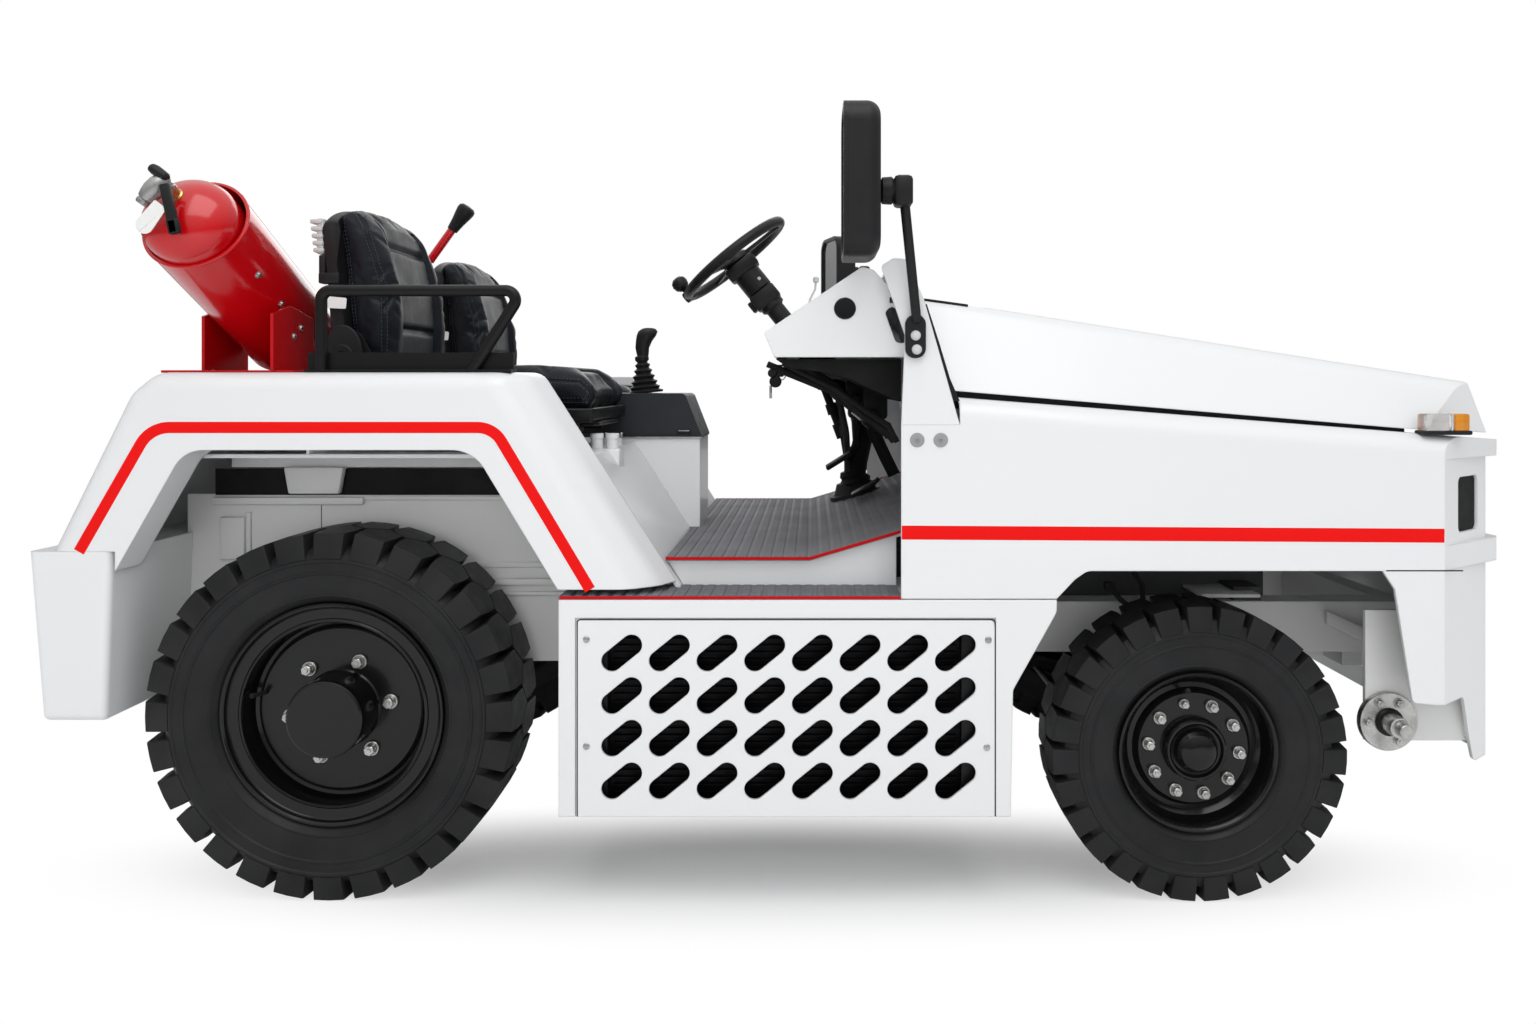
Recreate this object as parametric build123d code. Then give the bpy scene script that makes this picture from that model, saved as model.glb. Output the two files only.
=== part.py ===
from build123d import *
import math
import os

# Airport baggage tug. +X is forward, +Y is the vehicle's left, +Z is up, in millimetres.
# The origin is on the ground under the middle of the overall box.

# ---------------------------------------------------------------- driving sizes
HALF_W = 650.0            # half width over the body sides
WHEELBASE = 1661.0
REAR_AXLE_X = -874.0
REAR_OVERHANG = 546.0     # rear axle to the rear bumper
FRONT_OVERHANG = 633.0    # front axle to the front lip

REAR_TYRE_R = 352.0
REAR_TYRE_W = 196.0
REAR_RIM_R = 205.0
FRONT_TYRE_R = 282.0
FRONT_TYRE_W = 144.0
FRONT_RIM_R = 144.0
WHEEL_INSET = 30.0        # tyre's outer face inside the body side
SPIN_FIT = 0.05           # running clearance of a shaft in its bore
SWING_GAP = 5.0           # clearance beside what moves

PLATE = 6.0               # body plates
FLOOR_PLATE = 8.0
MAT = 6.0
DECK_Z = 1009.0           # rear deck and fender tops
PLATFORM_Z = 850.0        # plate that carries the seats
FLOOR_Z = 640.0           # footwell floor
STEP_Z = 583.0            # top of the side boxes
BOX_BOTTOM_Z = 177.0      # bottom of the side boxes
SKIRT_Z = 637.0           # lower edge of the front body
FOOT_Z = 602.0            # lower end of the rear body in front of the rear wheel
BUMPER_TOP_Z = 673.0
BUMPER_BOTTOM_Z = 355.0

FENDER_W = 90.0           # width of a fender's top beside the seats
STEP_W = 120.0            # tread width of the side step
SLANT = 0.64              # rearward run of the seat platform's front per unit of height
RAMP_ANGLE = 16.5

RAIL_BOTTOM_Z = 400.0
RAIL_TOP_Z = 510.0
RAIL_W = 70.0
KINGPIN_INSET = 200.0     # kingpin axis inside the body side
KINGPIN_R = 12.0
KINGPIN_GAP = 150.0       # kingpin axis to the frame rail's outer face
STEER_ARM = 130.0

SEAT_W = 380.0
DRIVER_SEAT_DROP = 38.0
CONSOLE_HALF_W = 98.0
WHEEL_TILT = 39.0         # steering wheel plane above level
STEERING_WHEEL_R = 160.0

HOOD_WALL = 5.0
EXTINGUISHER_TILT = 27.0
EXTINGUISHER_TUBE_R = 95.5
EXTINGUISHER_R = 85.0

# ---------------------------------------------------------------- stations worked out from them
FRONT_AXLE_X = REAR_AXLE_X + WHEELBASE
REAR_X = REAR_AXLE_X - REAR_OVERHANG
FRONT_X = FRONT_AXLE_X + FRONT_OVERHANG
REAR_WHEEL_Y = HALF_W - WHEEL_INSET - REAR_TYRE_W / 2
FRONT_WHEEL_Y = HALF_W - WHEEL_INSET - FRONT_TYRE_W / 2
KINGPIN_Y = HALF_W - KINGPIN_INSET
RAIL_OUT = KINGPIN_Y - KINGPIN_GAP
RAIL_IN = RAIL_OUT - RAIL_W
DECK_HALF_W = HALF_W - FENDER_W
FLOOR_HALF_W = HALF_W - STEP_W
SIDE_BOX_IN = FLOOR_HALF_W - 120.0       # inner wall of the side boxes
WELL_Y = HALF_W - 270.0                  # outer face of the rear wheel's inner panel
BUMPER_FRONT_X = REAR_X + 144.0
FOOT_X = REAR_AXLE_X + 633.0             # platform's front face at floor height
BOX_REAR_X = REAR_AXLE_X + 448.0
BOX_FRONT_X = FRONT_AXLE_X - 367.0
BODY_REAR_X = FRONT_AXLE_X - 572.0       # rear edge of the front body's sides
RAMP_X = BODY_REAR_X - 172.0             # foot of the footwell's ramp
POST_FRONT_X = FRONT_AXLE_X - 462.0      # lower front corner of the cowl's posts
FIREWALL_X = POST_FRONT_X - PLATE
CORNER_X = FRONT_AXLE_X + 445.0          # where the front corners start to turn in
HINGE_X = FRONT_X - 10.0
HOOD_REAR_X = FRONT_AXLE_X - 522.0
SEAT_Y = (DECK_HALF_W + CONSOLE_HALF_W) / 2 - 24.0
COLUMN_TOP = Vector(FRONT_AXLE_X - 953.0, SEAT_Y, 1332.0)
COLUMN_DIR = Vector(math.sin(math.radians(WHEEL_TILT)), 0, -math.cos(math.radians(WHEEL_TILT)))


def platform_front(z):
    """X of the seat platform's slanted front face at height z."""
    return FOOT_X - SLANT * (z - FLOOR_Z)


def hood_line(x):
    """Height of the joint between the hood and the front body at x."""
    return 894.0 - 0.078 * (x - FRONT_AXLE_X - 403.0)


def ramp_top(x):
    """Height of the footwell's floor at x."""
    return FLOOR_Z + max(0.0, x - RAMP_X) * math.tan(math.radians(RAMP_ANGLE))


# ---------------------------------------------------------------- shape helpers
def block(x, y, z):
    """Box between pairs of X, Y and Z values."""
    size = [abs(pair[1] - pair[0]) for pair in (x, y, z)]
    return Pos(sum(x) / 2, sum(y) / 2, sum(z) / 2) * Box(*size)


def side_face(points, radii=None):
    """Face in the XZ plane, with corners rounded where radii maps a point's number to a radius."""
    face = Plane.XZ * make_face(Polyline(*points, close=True))
    for number, radius in (radii or {}).items():
        x, z = points[number]
        corner = face.vertices().sort_by_distance((x, 0, z))[0]
        face = fillet(corner, radius)
    return face


def side_prism(points, y, radii=None):
    """Outline in X and Z, drawn out between two Y values."""
    return Pos(0, max(y), 0) * extrude(side_face(points, radii), abs(y[1] - y[0]))


def plan_prism(points, z):
    """Outline in X and Y, drawn up between two heights."""
    return Pos(0, 0, min(z)) * extrude(make_face(Polyline(*points, close=True)), abs(z[1] - z[0]))


def rod(start, end, radius):
    """Round bar between two points."""
    start, end = Vector(*start), Vector(*end)
    length = (end - start).length
    bar = Cylinder(radius, length, align=(Align.CENTER, Align.CENTER, Align.MIN))
    return Plane(origin=start, z_dir=end - start) * bar


def disc_y(x, z, radius, y):
    """Round bar along Y between two Y values."""
    return rod((x, min(y), z), (x, max(y), z), radius)


def bent_tube(points, bend, radius):
    """Round bar along a route whose corners are arcs of one radius."""
    path = FilletPolyline(*points, radius=bend)
    section = Plane(origin=path @ 0, z_dir=path % 0) * Circle(radius)
    return sweep(section, path=path)


def both(shape):
    """A piece and its mirror image on the other side."""
    return shape + mirror(shape, about=Plane.XZ)


def turned(points, x, y, z):
    """Ring made by turning (radius, offset along Y) points about the wheel axis at x, y, z."""
    face = make_face(Polyline(*points, close=True))
    return Pos(x, y, z) * revolve(face, Axis.Y)


# ---------------------------------------------------------------- rear body
ARCH = [
    (BOX_REAR_X - 1, FOOT_Z - 1),
    (REAR_AXLE_X + 288, 863),
    (REAR_AXLE_X - 253, 863),
    (REAR_AXLE_X - 396, 611),
    (REAR_AXLE_X - 398, BUMPER_TOP_Z - 100),
]
ARCH_TURN = {1: 70.0, 2: 60.0}
REAR_SLANT_FOOT = (REAR_X + 37, BUMPER_TOP_Z)
REAR_SLANT_TOP = (REAR_X + 183, DECK_Z - 39)
DECK_REAR = (REAR_X + 230, DECK_Z)
SLANT_TURN_R = 60.0         # rounding over the slanted panel and at the deck's rear edge
FENDER_NOSE_R = 70.0        # rounding of the fender's front corner, in plan
RECESS_REAR_X = REAR_AXLE_X - 60
PIN_WAY_X = 70.0            # rear end to the front of the pin's way in
PIN_WAY_HALF_W = 32.0
HITCH_HALF_W = 70.0
HITCH_TOP_Z = 590.0
HITCH_PIN_R = 16.0
HITCH_X = REAR_X + 45


def rear_outline(inset):
    """Side outline of the rear body over its deck, every face moved in by inset."""
    lean = inset * 1.12
    return [
        (REAR_SLANT_FOOT[0] + lean, FOOT_Z - 60),
        (REAR_SLANT_FOOT[0] + lean, REAR_SLANT_FOOT[1]),
        (REAR_SLANT_TOP[0] + lean, REAR_SLANT_TOP[1]),
        (DECK_REAR[0] + inset * 0.35, DECK_Z - inset),
        (platform_front(DECK_Z - inset) - inset * 1.19, DECK_Z - inset),
        (platform_front(FOOT_Z - 60) - inset * 1.19, FOOT_Z - 60),
    ]


def fender_block(inset):
    """Right fender as one block, its faceted front corner leaning back with the platform."""
    bottom = FOOT_Z + inset
    foot = platform_front(bottom) - inset * 1.19
    plan = [
        (REAR_X - 50, -DECK_HALF_W + 2 * inset),
        (foot, -DECK_HALF_W + 2 * inset),
        (foot - 25, -DECK_HALF_W - 50 + inset),
        (foot - 80, -HALF_W + inset),
        (REAR_X - 50, -HALF_W + inset),
    ]
    section = make_face(Polyline(*plan, close=True))
    for x, y in plan[2:4]:
        section = fillet(section.vertices().sort_by_distance((x, y, 0))[0], FENDER_NOSE_R - inset)
    column = extrude(Pos(0, 0, bottom) * section, 1.5 * (DECK_Z - FOOT_Z), dir=Vector(-SLANT, 0, 1))
    turn = SLANT_TURN_R - inset
    return column & side_prism(rear_outline(inset), (-HALF_W, 0), {2: turn, 3: turn})


def rounded_fender_block(inset):
    """The fender block with its long outer edges rounded."""
    body = fender_block(inset)
    outer = [
        edge for edge in body.edges()
        if abs(edge.center().Y + HALF_W - inset) < 0.5
        and edge.center().X < REAR_AXLE_X + 200
        and edge.center().Z > BUMPER_TOP_Z + 20
    ]
    return fillet(outer, 32 - inset)


def rear_fender():
    """Right fender: side, top, rear and front skins, wheel arch return and seat recess wall."""
    outer = rounded_fender_block(0)
    skin = outer - rounded_fender_block(PLATE)
    recess_wall = side_prism([
        (RECESS_REAR_X, PLATFORM_Z),
        (RECESS_REAR_X, DECK_Z - PLATE),
        (platform_front(DECK_Z) - 4, DECK_Z - PLATE),
        (platform_front(PLATFORM_Z) - 4, PLATFORM_Z),
    ], (-DECK_HALF_W, -DECK_HALF_W - PLATE))
    arch = side_face(ARCH, ARCH_TURN)
    arch_cut = Pos(0, 1, 0) * extrude(arch, HALF_W + 2)
    ring = offset(arch, PLATE, kind=Kind.INTERSECTION) - arch
    arch_return = extrude(Pos(0, -HALF_W + 78, 0) * ring, 78) & outer
    corner = block((REAR_X - 5, BUMPER_FRONT_X + 20), (-HALF_W - 1, 0), (0, BUMPER_TOP_Z))
    return skin + (recess_wall & outer) - arch_cut + arch_return - corner


def rear_deck():
    """Deck behind the seats, its slanted rear panel and the wall behind the seats."""
    lean = PLATE * 1.12
    outline = [
        REAR_SLANT_FOOT,
        REAR_SLANT_TOP,
        DECK_REAR,
        (RECESS_REAR_X, DECK_Z),
        (RECESS_REAR_X, PLATFORM_Z),
        (RECESS_REAR_X - PLATE, PLATFORM_Z),
        (RECESS_REAR_X - PLATE, DECK_Z - PLATE),
        (DECK_REAR[0] + PLATE * 0.35, DECK_Z - PLATE),
        (REAR_SLANT_TOP[0] + lean, REAR_SLANT_TOP[1]),
        (REAR_SLANT_FOOT[0] + lean, REAR_SLANT_FOOT[1]),
    ]
    over, under = SLANT_TURN_R, SLANT_TURN_R - PLATE
    panel = side_prism(outline, (-DECK_HALF_W, DECK_HALF_W), {1: over, 2: over, 7: under, 8: under})
    return panel - pin_way(PIN_WAY_X, BUMPER_TOP_Z + 62)


def pin_way(reach, top):
    """Space over the tow hitch through which its pin drops in."""
    return block((REAR_X - 5, REAR_X + reach), (-PIN_WAY_HALF_W, PIN_WAY_HALF_W), (HITCH_TOP_Z, top))


def bumper_block():
    """Outside of the rear bumper as one block."""
    outline = [
        (REAR_X + 26, BUMPER_BOTTOM_Z),
        (REAR_X, BUMPER_TOP_Z),
        (REAR_X + 155, BUMPER_TOP_Z),
        (BUMPER_FRONT_X, BUMPER_BOTTOM_Z),
    ]
    return side_prism(outline, (-HALF_W, HALF_W), {0: 12, 3: 8})


def rear_bumper():
    """Heavy box bumper across the rear, with a pocket for the tow hitch."""
    body = bumper_block()
    ends = [edge for edge in body.edges().filter_by(GeomType.LINE)
            if abs(abs(edge.center().Y) - HALF_W) < 0.5 and edge.center().X < REAR_X + 40]
    body = fillet(ends, 14)
    inside = side_prism([
        (REAR_X + 40, BUMPER_BOTTOM_Z - 1),
        (REAR_X + 15, BUMPER_TOP_Z - 12),
        (REAR_X + 140, BUMPER_TOP_Z - 12),
        (BUMPER_FRONT_X - 12, BUMPER_BOTTOM_Z - 1),
    ], (-HALF_W + 12, HALF_W - 12))
    pocket = block((REAR_X - 5, REAR_X + 60), (-HITCH_HALF_W - 8, HITCH_HALF_W + 8),
                   (BUMPER_BOTTOM_Z - 5, HITCH_TOP_Z + 8))
    return body - inside - pocket - pin_way(PIN_WAY_X, BUMPER_TOP_Z + 1)


def tow_hitch():
    """Multi-height tow hitch: a back plate and four shelves with one vertical bore."""
    back = block((BUMPER_FRONT_X - 30, BUMPER_FRONT_X - 12), (-HITCH_HALF_W, HITCH_HALF_W),
                 (370, HITCH_TOP_Z))
    shelves = [
        block((REAR_X + 12, BUMPER_FRONT_X - 30), (-HITCH_HALF_W, HITCH_HALF_W), (z - 18, z))
        for z in (HITCH_TOP_Z, HITCH_TOP_Z - 67, HITCH_TOP_Z - 134, HITCH_TOP_Z - 201)
    ]
    bore = rod((HITCH_X, 0, 300), (HITCH_X, 0, 700), HITCH_PIN_R)
    return back + shelves - bore


def wheel_panels():
    """Inner panels of the rear wheel wells, with the beam and brackets under the deck."""
    top = 754.0
    panel = block((BUMPER_FRONT_X, BOX_REAR_X), (-WELL_Y, -WELL_Y + 8), (RAIL_BOTTOM_Z, top))
    beam = block((REAR_X + 240, platform_front(PLATFORM_Z) - 75), (-WELL_Y - 4, -WELL_Y + 16),
                 (PLATFORM_Z - 39, PLATFORM_Z - FLOOR_PLATE))
    rear_bracket = block((REAR_AXLE_X - 189, REAR_AXLE_X - 64), (-WELL_Y, -WELL_Y + 12), (top, 811))
    front_bracket = block((REAR_AXLE_X + 260, REAR_AXLE_X + 330), (-WELL_Y, -WELL_Y + 12), (top, 811))
    return both(panel + beam + rear_bracket + front_bracket) - bumper_block()


def seat_platform():
    """Plate under the seats, bent down in front to the side boxes, with two filler necks."""
    lean = FLOOR_PLATE * 1.19
    outline = [
        (REAR_X + 240, PLATFORM_Z),
        (platform_front(PLATFORM_Z), PLATFORM_Z),
        (platform_front(STEP_Z), STEP_Z),
        (platform_front(STEP_Z) - lean, STEP_Z),
        (platform_front(PLATFORM_Z) - lean, PLATFORM_Z - FLOOR_PLATE),
        (REAR_X + 240, PLATFORM_Z - FLOOR_PLATE),
    ]
    body = side_prism(outline, (-DECK_HALF_W, DECK_HALF_W))
    body -= both(block((-5000, 5000), (FLOOR_HALF_W, HALF_W), (STEP_Z - 1, STEP_Z + MAT)))
    for offset_y in (-SEAT_Y + 20, -SEAT_Y + 66):
        neck_x = platform_front(PLATFORM_Z) - 24
        body += rod((neck_x, offset_y, PLATFORM_Z), (neck_x, offset_y, PLATFORM_Z + 24), 19)
    return body


# ---------------------------------------------------------------- frame
def chassis_frame():
    """Two box rails with cross members, outriggers and floor bearers."""
    rail = block((BUMPER_FRONT_X - 12, FRONT_X - 36), (RAIL_IN, RAIL_OUT), (RAIL_BOTTOM_Z, RAIL_TOP_Z))
    frame = rail + mirror(rail, about=Plane.XZ)
    for x in (BUMPER_FRONT_X + 8, BOX_REAR_X - 60):
        frame += block((x, x + 50), (-WELL_Y + 8, WELL_Y - 8), (RAIL_BOTTOM_Z + 5, RAIL_TOP_Z))
    for x in (BOX_REAR_X + 40, FRONT_X - 110):
        frame += block((x, x + 50), (-RAIL_IN, RAIL_IN), (RAIL_BOTTOM_Z + 5, RAIL_TOP_Z))
    for x in (BOX_REAR_X + 30, BOX_FRONT_X - 80):
        frame += both(block((x, x + 50), (RAIL_OUT, SIDE_BOX_IN), (RAIL_BOTTOM_Z + 10, RAIL_TOP_Z - 10)))
    for x in (RAMP_X - 120, RAMP_X - 20):
        frame += both(block((x, x + 40), (RAIL_IN, RAIL_OUT), (RAIL_TOP_Z, FLOOR_Z - FLOOR_PLATE)))
    seat_post_x = platform_front(PLATFORM_Z) - 90
    frame += both(block((seat_post_x, seat_post_x + 40), (RAIL_IN, RAIL_OUT),
                        (RAIL_TOP_Z, PLATFORM_Z - FLOOR_PLATE)))
    return frame - bumper_block() - drive_tube(DRIVE_TUBE_R + SWING_GAP)


ENGINE_TOP_Z = 850.0


def engine_block():
    """Engine with its gearbox, one plain block on four mounts over the frame rails."""
    side = RAIL_IN - 25
    engine = block((FRONT_AXLE_X - 300, FRONT_AXLE_X + 290), (-side, side), (430, ENGINE_TOP_Z))
    gearbox = block((GEARBOX_X, FRONT_AXLE_X - 300), (-side + 50, side - 50), (410, 600))
    body = engine + gearbox
    for x in (FRONT_AXLE_X - 260, FRONT_AXLE_X + 190):
        body += both(block((x, x + 60), (side, RAIL_OUT - 10), (RAIL_TOP_Z, RAIL_TOP_Z + 30)))
    return body


DRIVE_Z = 455.0
DRIVE_TUBE_R = 38.0
GEARBOX_X = FRONT_AXLE_X - 560.0
AXLE_TUBE_R = 45.0


def drive_tube(radius):
    """Closed tube round the drive shaft, from the rear axle to the gearbox's rear face."""
    tube = rod((GEARBOX_X + 50, 0, DRIVE_Z), (REAR_AXLE_X + 80, 0, REAR_TYRE_R), radius)
    return tube & block((REAR_AXLE_X, GEARBOX_X), (-100, 100), (0, 700))


def rear_axle():
    """Rigid rear axle: housing, differential bulb, drive tube, frame pads and wheel spindles."""
    z = REAR_TYRE_R
    inner = REAR_WHEEL_Y - REAR_TYRE_W / 2
    housing = disc_y(REAR_AXLE_X, z, AXLE_TUBE_R, (-inner + 20, inner - 20))
    bulb = Pos(REAR_AXLE_X, 0, z) * Sphere(125)
    flange = disc_y(REAR_AXLE_X, z, 78, (inner - 20, inner - 2))
    spindle = disc_y(REAR_AXLE_X, z, REAR_SPINDLE_R, (inner - 2, REAR_WHEEL_Y + 70))
    pad = block((REAR_AXLE_X - 60, REAR_AXLE_X + 60), (RAIL_IN + 5, RAIL_OUT - 5), (z, RAIL_BOTTOM_Z))
    return housing + bulb + both(flange + spindle) + both(pad) + drive_tube(DRIVE_TUBE_R)


REAR_SPINDLE_R = 30.0
FRONT_SPINDLE_R = 20.0
AXLE_END_R = 30.0
LUG_T = 18.0
BOSS_HALF_H = 25.0


def front_axle():
    """Front axle beam between the kingpin bosses, on two spring pads."""
    z = FRONT_TYRE_R
    beam = block((FRONT_AXLE_X - 30, FRONT_AXLE_X + 30), (-KINGPIN_Y + 50, KINGPIN_Y - 50), (z - 35, z + 35))
    neck = block((FRONT_AXLE_X - 22, FRONT_AXLE_X + 22), (KINGPIN_Y - 50, KINGPIN_Y),
                 (z - BOSS_HALF_H, z + BOSS_HALF_H))
    boss = rod((FRONT_AXLE_X, KINGPIN_Y, z - BOSS_HALF_H), (FRONT_AXLE_X, KINGPIN_Y, z + BOSS_HALF_H),
               AXLE_END_R)
    bore = rod((FRONT_AXLE_X, KINGPIN_Y, z - 60), (FRONT_AXLE_X, KINGPIN_Y, z + 60), KINGPIN_R + SPIN_FIT)
    spring_y = (RAIL_IN + RAIL_OUT) / 2
    pad = block((FRONT_AXLE_X - 40, FRONT_AXLE_X + 40), (spring_y - 30, spring_y + 30), (z + 35, z + 48))
    return beam + both(neck + boss + pad) - both(bore)


def front_springs():
    """Two leaf springs between the front axle's pads and the hangers under the rails."""
    low = FRONT_TYRE_R + 48
    rise = 40.0
    half = 260.0
    thick = 16.0
    spring_y = (RAIL_IN + RAIL_OUT) / 2
    centre = (FRONT_AXLE_X, low)
    lower = [(FRONT_AXLE_X - half, low + rise), centre, (FRONT_AXLE_X + half, low + rise)]
    under = ThreePointArc(*[(x, z) for x, z in lower])
    over = ThreePointArc(*[(x, z + thick) for x, z in reversed(lower)])
    ends = [Line(under @ 1, over @ 0), Line(over @ 1, under @ 0)]
    leaf = extrude(Plane.XZ * make_face([under, over] + ends), 50)
    leaf = Pos(0, spring_y + 25, 0) * leaf
    hangers = [
        block((x - 14, x + 14), (spring_y - 28, spring_y + 28), (low + rise - 6, RAIL_BOTTOM_Z))
        for x in (FRONT_AXLE_X - half, FRONT_AXLE_X + half)
    ]
    return both(leaf + hangers)


# ---------------------------------------------------------------- wheels and steering
def tyre(x, y, radius, width, rim_r):
    """Tyre as a ring with square shoulders and bulged sides."""
    half = width / 2
    wall = radius - rim_r
    profile = [
        (rim_r, -0.72 * half), (rim_r + 10, -0.72 * half), (rim_r + 0.22 * wall, -0.95 * half),
        (rim_r + 0.42 * wall, -half),
        (radius - 0.22 * wall, -0.98 * half), (radius - 0.05 * wall, -0.86 * half), (radius, -0.74 * half),
    ]
    mirrored = [(r, -offset_y) for r, offset_y in reversed(profile)]
    return turned(profile + mirrored, x, y, radius)


def rim(x, y, side, radius, width, rim_r, disc_in, hub):
    """Rim with flanges, a dished disc set in by disc_in and a hub; side is -1 right, 1 left."""
    half = 0.72 * width / 2
    hub_r, hub_out, bore_r, hub_in = hub
    barrel = rim_r - 22
    disc = half - disc_in
    outline = [
        (bore_r, -hub_in), (hub_r - 8, -hub_in), (hub_r - 8, disc - 14), (barrel - 6, disc - 14),
        (barrel - 6, -half - 4), (rim_r + 8, -half - 8), (rim_r + 8, -half - 2), (rim_r, -half),
        (rim_r, half), (rim_r + 8, half + 2), (rim_r + 8, half + 8), (barrel, half + 4),
        (barrel, disc), (hub_r, disc), (hub_r, hub_out), (bore_r, hub_out),
    ]
    cap = [(0, hub_out), (hub_r, hub_out), (hub_r - 6, hub_out + 8), (0, hub_out + 8)]
    solid = turned([(r, side * offset_y) for r, offset_y in outline], x, y, radius)
    return solid + turned([(r, side * offset_y) for r, offset_y in cap], x, y, radius)


REAR_HUB = (74.0, 104.0, REAR_SPINDLE_R + SPIN_FIT, 90.0)
FRONT_HUB = (57.0, 56.0, FRONT_SPINDLE_R + SPIN_FIT, 28.0)
STEERED = ((-1, "right"), (1, "left"))


def rear_rim(side):
    """Rear rim with its hub reduction cover."""
    return rim(REAR_AXLE_X, side * REAR_WHEEL_Y, side, REAR_TYRE_R, REAR_TYRE_W, REAR_RIM_R, 30, REAR_HUB)


def front_rim(side):
    """Front rim with its hub and dust cap."""
    return rim(FRONT_AXLE_X, side * FRONT_WHEEL_Y, side, FRONT_TYRE_R, FRONT_TYRE_W, FRONT_RIM_R, 24,
               FRONT_HUB)


def knuckle(side):
    """Steering knuckle: fork, kingpin, wheel spindle and steering arm."""
    z = FRONT_TYRE_R
    lug_in = BOSS_HALF_H + SWING_GAP
    lug_out = lug_in + LUG_T
    plate = KINGPIN_Y + 40
    body = block((FRONT_AXLE_X - 35, FRONT_AXLE_X + 35), (plate, plate + 15), (z - lug_out, z + lug_out))
    for low, high in ((-lug_out, -lug_in), (lug_in, lug_out)):
        body += block((FRONT_AXLE_X - 28, FRONT_AXLE_X + 28), (KINGPIN_Y - 22, plate), (z + low, z + high))
    body += rod((FRONT_AXLE_X, KINGPIN_Y, z - lug_out - 4), (FRONT_AXLE_X, KINGPIN_Y, z + lug_out + 4),
                KINGPIN_R)
    body += disc_y(FRONT_AXLE_X, z, FRONT_SPINDLE_R, (plate + 15, FRONT_WHEEL_Y + 48))
    arm_x = FRONT_AXLE_X - STEER_ARM
    arm_top = z - lug_in - 4
    body += block((arm_x, FRONT_AXLE_X - 20), (KINGPIN_Y - 12, KINGPIN_Y + 12), (arm_top - 12, arm_top))
    body += rod((arm_x, KINGPIN_Y, arm_top - 12), (arm_x, KINGPIN_Y, arm_top), 13)
    body += rod((arm_x, KINGPIN_Y, arm_top - 40), (arm_x, KINGPIN_Y, arm_top), TIE_PIN_R)
    return body if side > 0 else mirror(body, about=Plane.XZ)


TIE_PIN_R = 7.0
TIE_Z = FRONT_TYRE_R - BOSS_HALF_H - SWING_GAP - 32.0


def tie_rod():
    """Tie rod between the steering arms; the right eye is the looser one."""
    x = FRONT_AXLE_X - STEER_ARM
    body = rod((x, -KINGPIN_Y + 10, TIE_Z), (x, KINGPIN_Y - 10, TIE_Z), 9)
    for y in (-KINGPIN_Y, KINGPIN_Y):
        body += rod((x, y, TIE_Z - 12), (x, y, TIE_Z + 12), 14)
    for y, fit in ((-KINGPIN_Y, 1.0), (KINGPIN_Y, SPIN_FIT)):
        body -= rod((x, y, TIE_Z - 30), (x, y, TIE_Z + 30), TIE_PIN_R + fit)
    return body


# ---------------------------------------------------------------- floor and side boxes
PANEL = (BOX_REAR_X + 33, BOX_FRONT_X - 30, BOX_BOTTOM_Z, BOX_BOTTOM_Z + 370)


def floor_plate():
    """Footwell floor with its ramp and the low risers above the side steps."""
    end_z = ramp_top(FIREWALL_X)
    under = FLOOR_Z - FLOOR_PLATE
    outline = [
        (platform_front(FLOOR_Z), FLOOR_Z), (RAMP_X, FLOOR_Z), (FIREWALL_X, end_z),
        (FIREWALL_X, end_z - FLOOR_PLATE), (RAMP_X, under), (platform_front(under), under),
    ]
    riser = [
        (platform_front(STEP_Z) + 1, STEP_Z), (BODY_REAR_X, STEP_Z),
        (BODY_REAR_X, ramp_top(BODY_REAR_X) - FLOOR_PLATE), (RAMP_X, under),
        (platform_front(under) + 1, under),
    ]
    body = side_prism(outline, (-FLOOR_HALF_W, FLOOR_HALF_W))
    return body + both(side_prism(riser, (FLOOR_HALF_W - PLATE, FLOOR_HALF_W)))


def floor_mats():
    """Rubber mat over the floor and its ramp, a little wider than the floor, and the step mats."""
    edge = FLOOR_HALF_W + 20
    end_z = ramp_top(FIREWALL_X)
    start = platform_front(FLOOR_Z) + 2
    outline = [
        (start, FLOOR_Z), (RAMP_X, FLOOR_Z), (FIREWALL_X, end_z),
        (FIREWALL_X, end_z + MAT), (RAMP_X, FLOOR_Z + MAT), (start, FLOOR_Z + MAT),
    ]
    mat = side_prism(outline, (-edge, edge))
    mat -= both(block((BODY_REAR_X - 1, FIREWALL_X + 1), (FLOOR_HALF_W, edge + 1), (500, 900)))
    return mat + step_mats()


def step_mats():
    """Rubber treads on both side steps."""
    return both(block((BOX_REAR_X, BODY_REAR_X), (FLOOR_HALF_W, HALF_W), (STEP_Z, STEP_Z + MAT)))


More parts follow.
